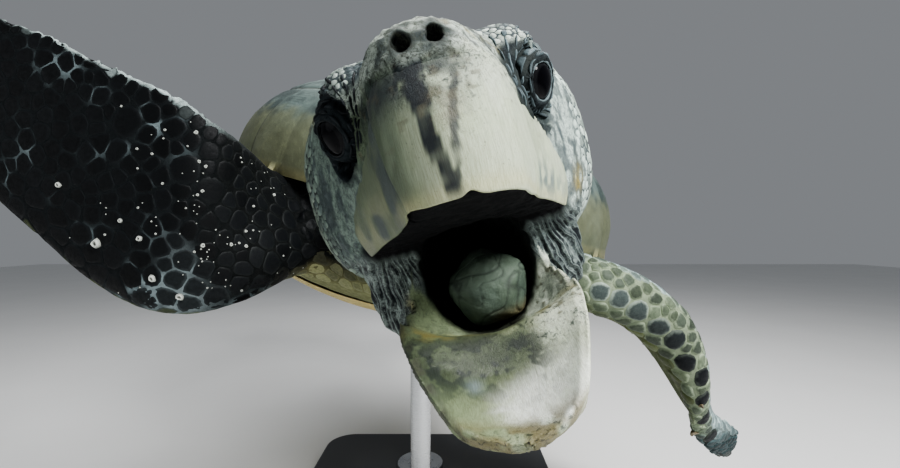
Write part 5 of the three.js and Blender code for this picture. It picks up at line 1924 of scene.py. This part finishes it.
def plastron_seams():
    seams = [((0, -260), (0, 440))]
    for y, reach in ((-200, 150), (-105, 205), (10, 215), (125, 205), (240, 150)):
        seams.append(((-reach, y + 12), (0, y)))
        seams.append(((reach, y + 12), (0, y)))
    for side in (1, -1):
        line = [(side * 190, -150), (side * 216, 0), (side * 200, 150)]
        seams += list(zip(line[:-1], line[1:]))
    return seams


def seam_distance(plan, seams):
    nearest = np.full(len(plan), 1e9)
    for a, b in seams:
        a, b = np.array(a, float), np.array(b, float)
        along = np.clip(((plan - a) @ (b - a)) / max(((b - a) ** 2).sum(), 1e-9), 0, 1)
        nearest = np.minimum(nearest, np.linalg.norm(plan - a - along[:, None] * (b - a), axis=1))
    return nearest


def lens(rows, columns, edge, top, bottom):
    """A net over the shell's plan, from the middle of its top out to the edge and back underneath."""
    along, around = np.meshgrid(np.linspace(0, 1, rows), angles_round(columns), indexing="ij")
    above = along <= 0.5
    share = np.sin(math.pi * np.where(above, along, 1 - along))
    reach = edge(around) * share
    plan = rim_points(around) * reach[..., None]
    height = np.where(above, top(reach), bottom(reach, share))
    points = np.concatenate([plan, height[..., None]], axis=-1).reshape(-1, 3)
    return points, facing_out(points, net_faces(rows, columns, closed=True)), above.ravel(), reach.ravel()


def build_carapace():
    points, faces, above, reach = lens(
        271, 360, lambda around: np.ones_like(around), dome, lambda r, _: carapace_underside(r)
    )
    normals = net_normals(points, faces)
    seam = np.where(above, seam_distance(points[:, :2], carapace_seams()), NO_SEAM)
    height = above * (-1.8 * np.exp(-((seam / 3.2) ** 2)) - 1.2 * np.exp(-seam / 22))
    height += above * (0.8 * noise(points, 40, 50) + 0.35 * noise(points, 9, 51) - 0.8)
    height += above * 1.5 * (bump(points[:, 0], 0, 16) * (1 - reach))
    points = points + np.where(above, height, 0.3 * noise(points, 20, 52))[:, None] * normals
    cloud, grit = noise(points, 70, 53), noise(points, 12, 64)
    tone = coated(
        (0.035, 0.052, 0.05),
        (smoothstep(-0.2, 0.6, cloud + 0.6 * grit) * 0.8, (0.12, 0.165, 0.155)),
        (smoothstep(0.93, 0.98, reach + 0.02 * grit) * 0.8, (0.13, 0.14, 0.08)),
        ((~above) * 0.9, (0.34, 0.32, 0.17)),
    )
    material = scute_material("carapace", (0.05, 0.055, 0.045), (0.62, 0.64, 0.6))
    piece = meshed("carapace_plates", SHELL.outside(points), faces, material)
    painted(piece, tone=tone, seam=seam)
    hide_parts("carapace")


def build_plastron():
    def edge(around):
        y = rim_points(around)[..., 1]
        return PLASTRON_REACH + BRIDGE_REACH * np.exp(-((y / BRIDGE_RUN) ** 2))

    def bottom(reach, share):
        return -belly(reach) - PLASTRON_THICKNESS * np.sqrt(np.maximum(0, 1 - share**PLASTRON_EDGE))

    points, faces, above, _ = lens(140, 240, edge, lambda reach: -belly(reach), bottom)
    normals = net_normals(points, faces)
    seam = np.where(above, NO_SEAM, seam_distance(points[:, :2], plastron_seams()))
    height = np.where(above, 0, -1.2 * np.exp(-((seam / 3) ** 2)) + 0.5 * noise(points, 35, 55) - 0.5)
    points = points + height[:, None] * normals
    cloud = smoothstep(0, 0.8, noise(points, 60, 56))
    tone = coated((0.56, 0.47, 0.22), (cloud * 0.5, (0.46, 0.34, 0.14)))
    material = scute_material("plastron", (0.3, 0.22, 0.1), (0.85, 0.8, 0.7))
    piece = meshed("plastron_plates", SHELL.outside(points), faces, material)
    painted(piece, tone=tone, seam=seam)
    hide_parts("plastron")


# ---------------------------------------------------------------- claws

# Each claw: how far along its limb, its length, and its radius at the root.
FRONT_CLAWS = [(0.85, 22, 6), (0.76, 15, 4.5)]
HIND_CLAWS = [(0.68, 15, 4.5), (0.78, 11, 3.6)]
CLAW_HOOK, CLAW_NET = 0.9, 24


def claw(limb, along, length, root):
    """A hooked horn cone on a limb's leading edge, as points, faces and the way from root to tip."""
    t = np.array([along])
    lead = limb.at_t(limb.lead, t)[0]
    onward = unit(limb.at_t(np.gradient(limb.at, limb.t, axis=0), t)[0])
    side = unit(np.cross(lead, onward))
    edge = limb.at_t(limb.at, t)[0] + lead * (limb.at_t(limb.half_chord, t)[0] - root)
    bend = (length + root) / CLAW_HOOK
    run, around = np.meshgrid(np.linspace(0, 1, CLAW_NET), angles_round(CLAW_NET), indexing="ij")
    turn = CLAW_HOOK * run
    radius = root * (1 - 0.8 * run) * opening(run, 0.12) * opening(1 - run, 0.05)
    inward = radius * np.cos(around)
    points = (
        edge
        + ((bend - inward) * np.sin(turn))[..., None] * lead
        + (bend * (1 - np.cos(turn)) + inward * np.cos(turn))[..., None] * onward
        + (radius * np.sin(around))[..., None] * side
    ).reshape(-1, 3)
    world = points if limb.place is None else limb.place.outside(points)
    return world, facing_out(points, net_faces(CLAW_NET, CLAW_NET, closed=True)), run.ravel()


def build_claws():
    points, faces, lengths, names = [], [], [], []
    for limb in ("front_left", "front_right", "hind_left", "hind_right"):
        end, side = limb.split("_")
        for number, spec in enumerate(FRONT_CLAWS if end == "front" else HIND_CLAWS, 1):
            some, quads, run = claw(LIMBS[limb][0], *spec)
            faces.append(quads + sum(len(p) for p in points))
            points.append(some)
            lengths.append(run)
            names.append(f"{end}_claw_{side}_{number}")
    piece = meshed("claws", np.concatenate(points), np.concatenate(faces), claw_material())
    painted(piece, length=np.concatenate(lengths))
    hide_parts(*names)


# ---------------------------------------------------------------- the stand

STAND_WIDTH, STAND_LENGTH, STAND_CORNER, STAND_THICK = 500, 720, 60, 24
# The board's edge, rounded: how far in and how high above the nearer face. MIDDLE is its centre line.
EDGE_STEPS, MIDDLE = [(4, 0), (1, 1.2), (0, 4)], 999
ROD_RADIUS, ROD_FILLET, FLANGE_RADIUS, FLANGE_HEIGHT = 15, 10, 48, 8
ROD_PLACES = {"front": (-4, -86), "rear": (-24, 206)}


def turned(outline, columns=64):
    """A solid of revolution about z from its (radius, height) outline."""
    around = angles_round(columns)
    radius, height = np.array(outline, float).T[:, :, None]
    rings = [radius * np.cos(around), radius * np.sin(around), height + 0 * around]
    points = np.stack(rings, axis=-1).reshape(-1, 3)
    return points, facing_out(points, net_faces(len(outline), columns, closed=True))


def build_stand():
    corner = np.linspace(0, math.pi / 2, 17)
    quarter = np.stack([np.cos(corner), np.sin(corner)], axis=1)
    rings = []
    lower = [(MIDDLE, 0), *EDGE_STEPS]
    upper = [(inset, STAND_THICK - height) for inset, height in lower[::-1]]
    for inset, height in lower + upper:
        radius = max(STAND_CORNER - inset, 0)
        centre = (np.array([STAND_WIDTH, STAND_LENGTH]) / 2 - STAND_CORNER) * (inset < MIDDLE)
        ring = np.concatenate([
            centre * sign + radius * quarter[::order] * sign
            for sign, order in (([1, 1], 1), ([-1, 1], -1), ([-1, -1], 1), ([1, -1], -1))
        ])
        rings.append(np.column_stack([ring, np.full(len(ring), height)]))
    points = np.concatenate(rings)
    faces = facing_out(points, net_faces(len(rings), len(rings[0]), closed=True))
    base = meshed("display_base", points, faces, lacquer_material(), smooth=False)
    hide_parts("stand_base")
    steel = steel_material()
    for name, (x, y) in ROD_PLACES.items():
        foot = STAND_THICK + 0.35
        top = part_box(f"stand_rod_{name}")[1].z / MM
        outline = [
            (0, foot), (FLANGE_RADIUS, foot), (FLANGE_RADIUS, foot + FLANGE_HEIGHT - 1),
            (FLANGE_RADIUS - 1, foot + FLANGE_HEIGHT), (ROD_RADIUS + ROD_FILLET, foot + FLANGE_HEIGHT),
        ]  # fmt: skip
        for step in np.linspace(0, math.pi / 2, 9)[1:]:
            outline.append((
                ROD_RADIUS + ROD_FILLET * (1 - math.sin(step)),
                foot + FLANGE_HEIGHT + ROD_FILLET * (1 - math.cos(step)),
            ))
        outline += [(ROD_RADIUS, top - 1), (0, top - 1)]
        points, faces = turned(outline)
        rod = meshed(f"display_rod_{name}", points + [x, y, 0], faces, steel)
        rod.data.set_sharp_from_angle(angle=math.radians(40))
        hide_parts(f"stand_rod_{name}")


# ---------------------------------------------------------------- light, floor and camera


def softbox(name, at, towards, size, power, colour=(1, 1, 1)):
    data = bpy.data.lights.new(name, "AREA")
    data.shape, data.size, data.energy, data.color = "DISK", size, power, colour
    light = bpy.data.objects.new(name, data)
    light.location = at
    light.rotation_euler = (Vector(towards) - Vector(at)).to_track_quat("-Z", "Y").to_euler()
    bpy.context.scene.collection.objects.link(light)


def build_studio():
    world = bpy.data.worlds.new("studio")
    bpy.context.scene.world = world
    world.use_nodes = True
    world.node_tree.nodes["Background"].inputs["Color"].default_value = (0.86, 0.9, 0.95, 1)
    world.node_tree.nodes["Background"].inputs["Strength"].default_value = 0.24
    softbox("key", (1.15, -1.5, 1.85), (0.05, -0.5, 0.5), 0.7, 74)
    softbox("fill", (-1.9, -1.5, 0.9), (0, -0.3, 0.5), 1.6, 5, (0.92, 0.96, 1))
    softbox("top", (0.2, 0.3, 2.6), (0, 0, 0.5), 1.8, 45)
    bpy.ops.mesh.primitive_plane_add(size=14, location=(0, 0, 0))
    floor = bpy.context.object
    floor.name = "floor"
    floor.data.materials.append(floor_material())
    lens_data = bpy.data.cameras.new("camera")
    lens_data.lens, lens_data.sensor_width = 18, 36
    camera = bpy.data.objects.new("camera", lens_data)
    camera.location = (0.040, -0.760, 0.520)
    camera.rotation_euler = (math.radians(90), 0, 0)
    bpy.context.scene.collection.objects.link(camera)
    bpy.context.scene.camera = camera
    bpy.context.scene.view_settings.view_transform = "AgX"
    bpy.context.scene.view_settings.look = "AgX - Medium High Contrast"


build_scales(*build_skin())
build_upper_beak()
build_lower_beak()
build_eyes()
build_tongue()
build_carapace()
build_plastron()
build_claws()
build_stand()
build_studio()
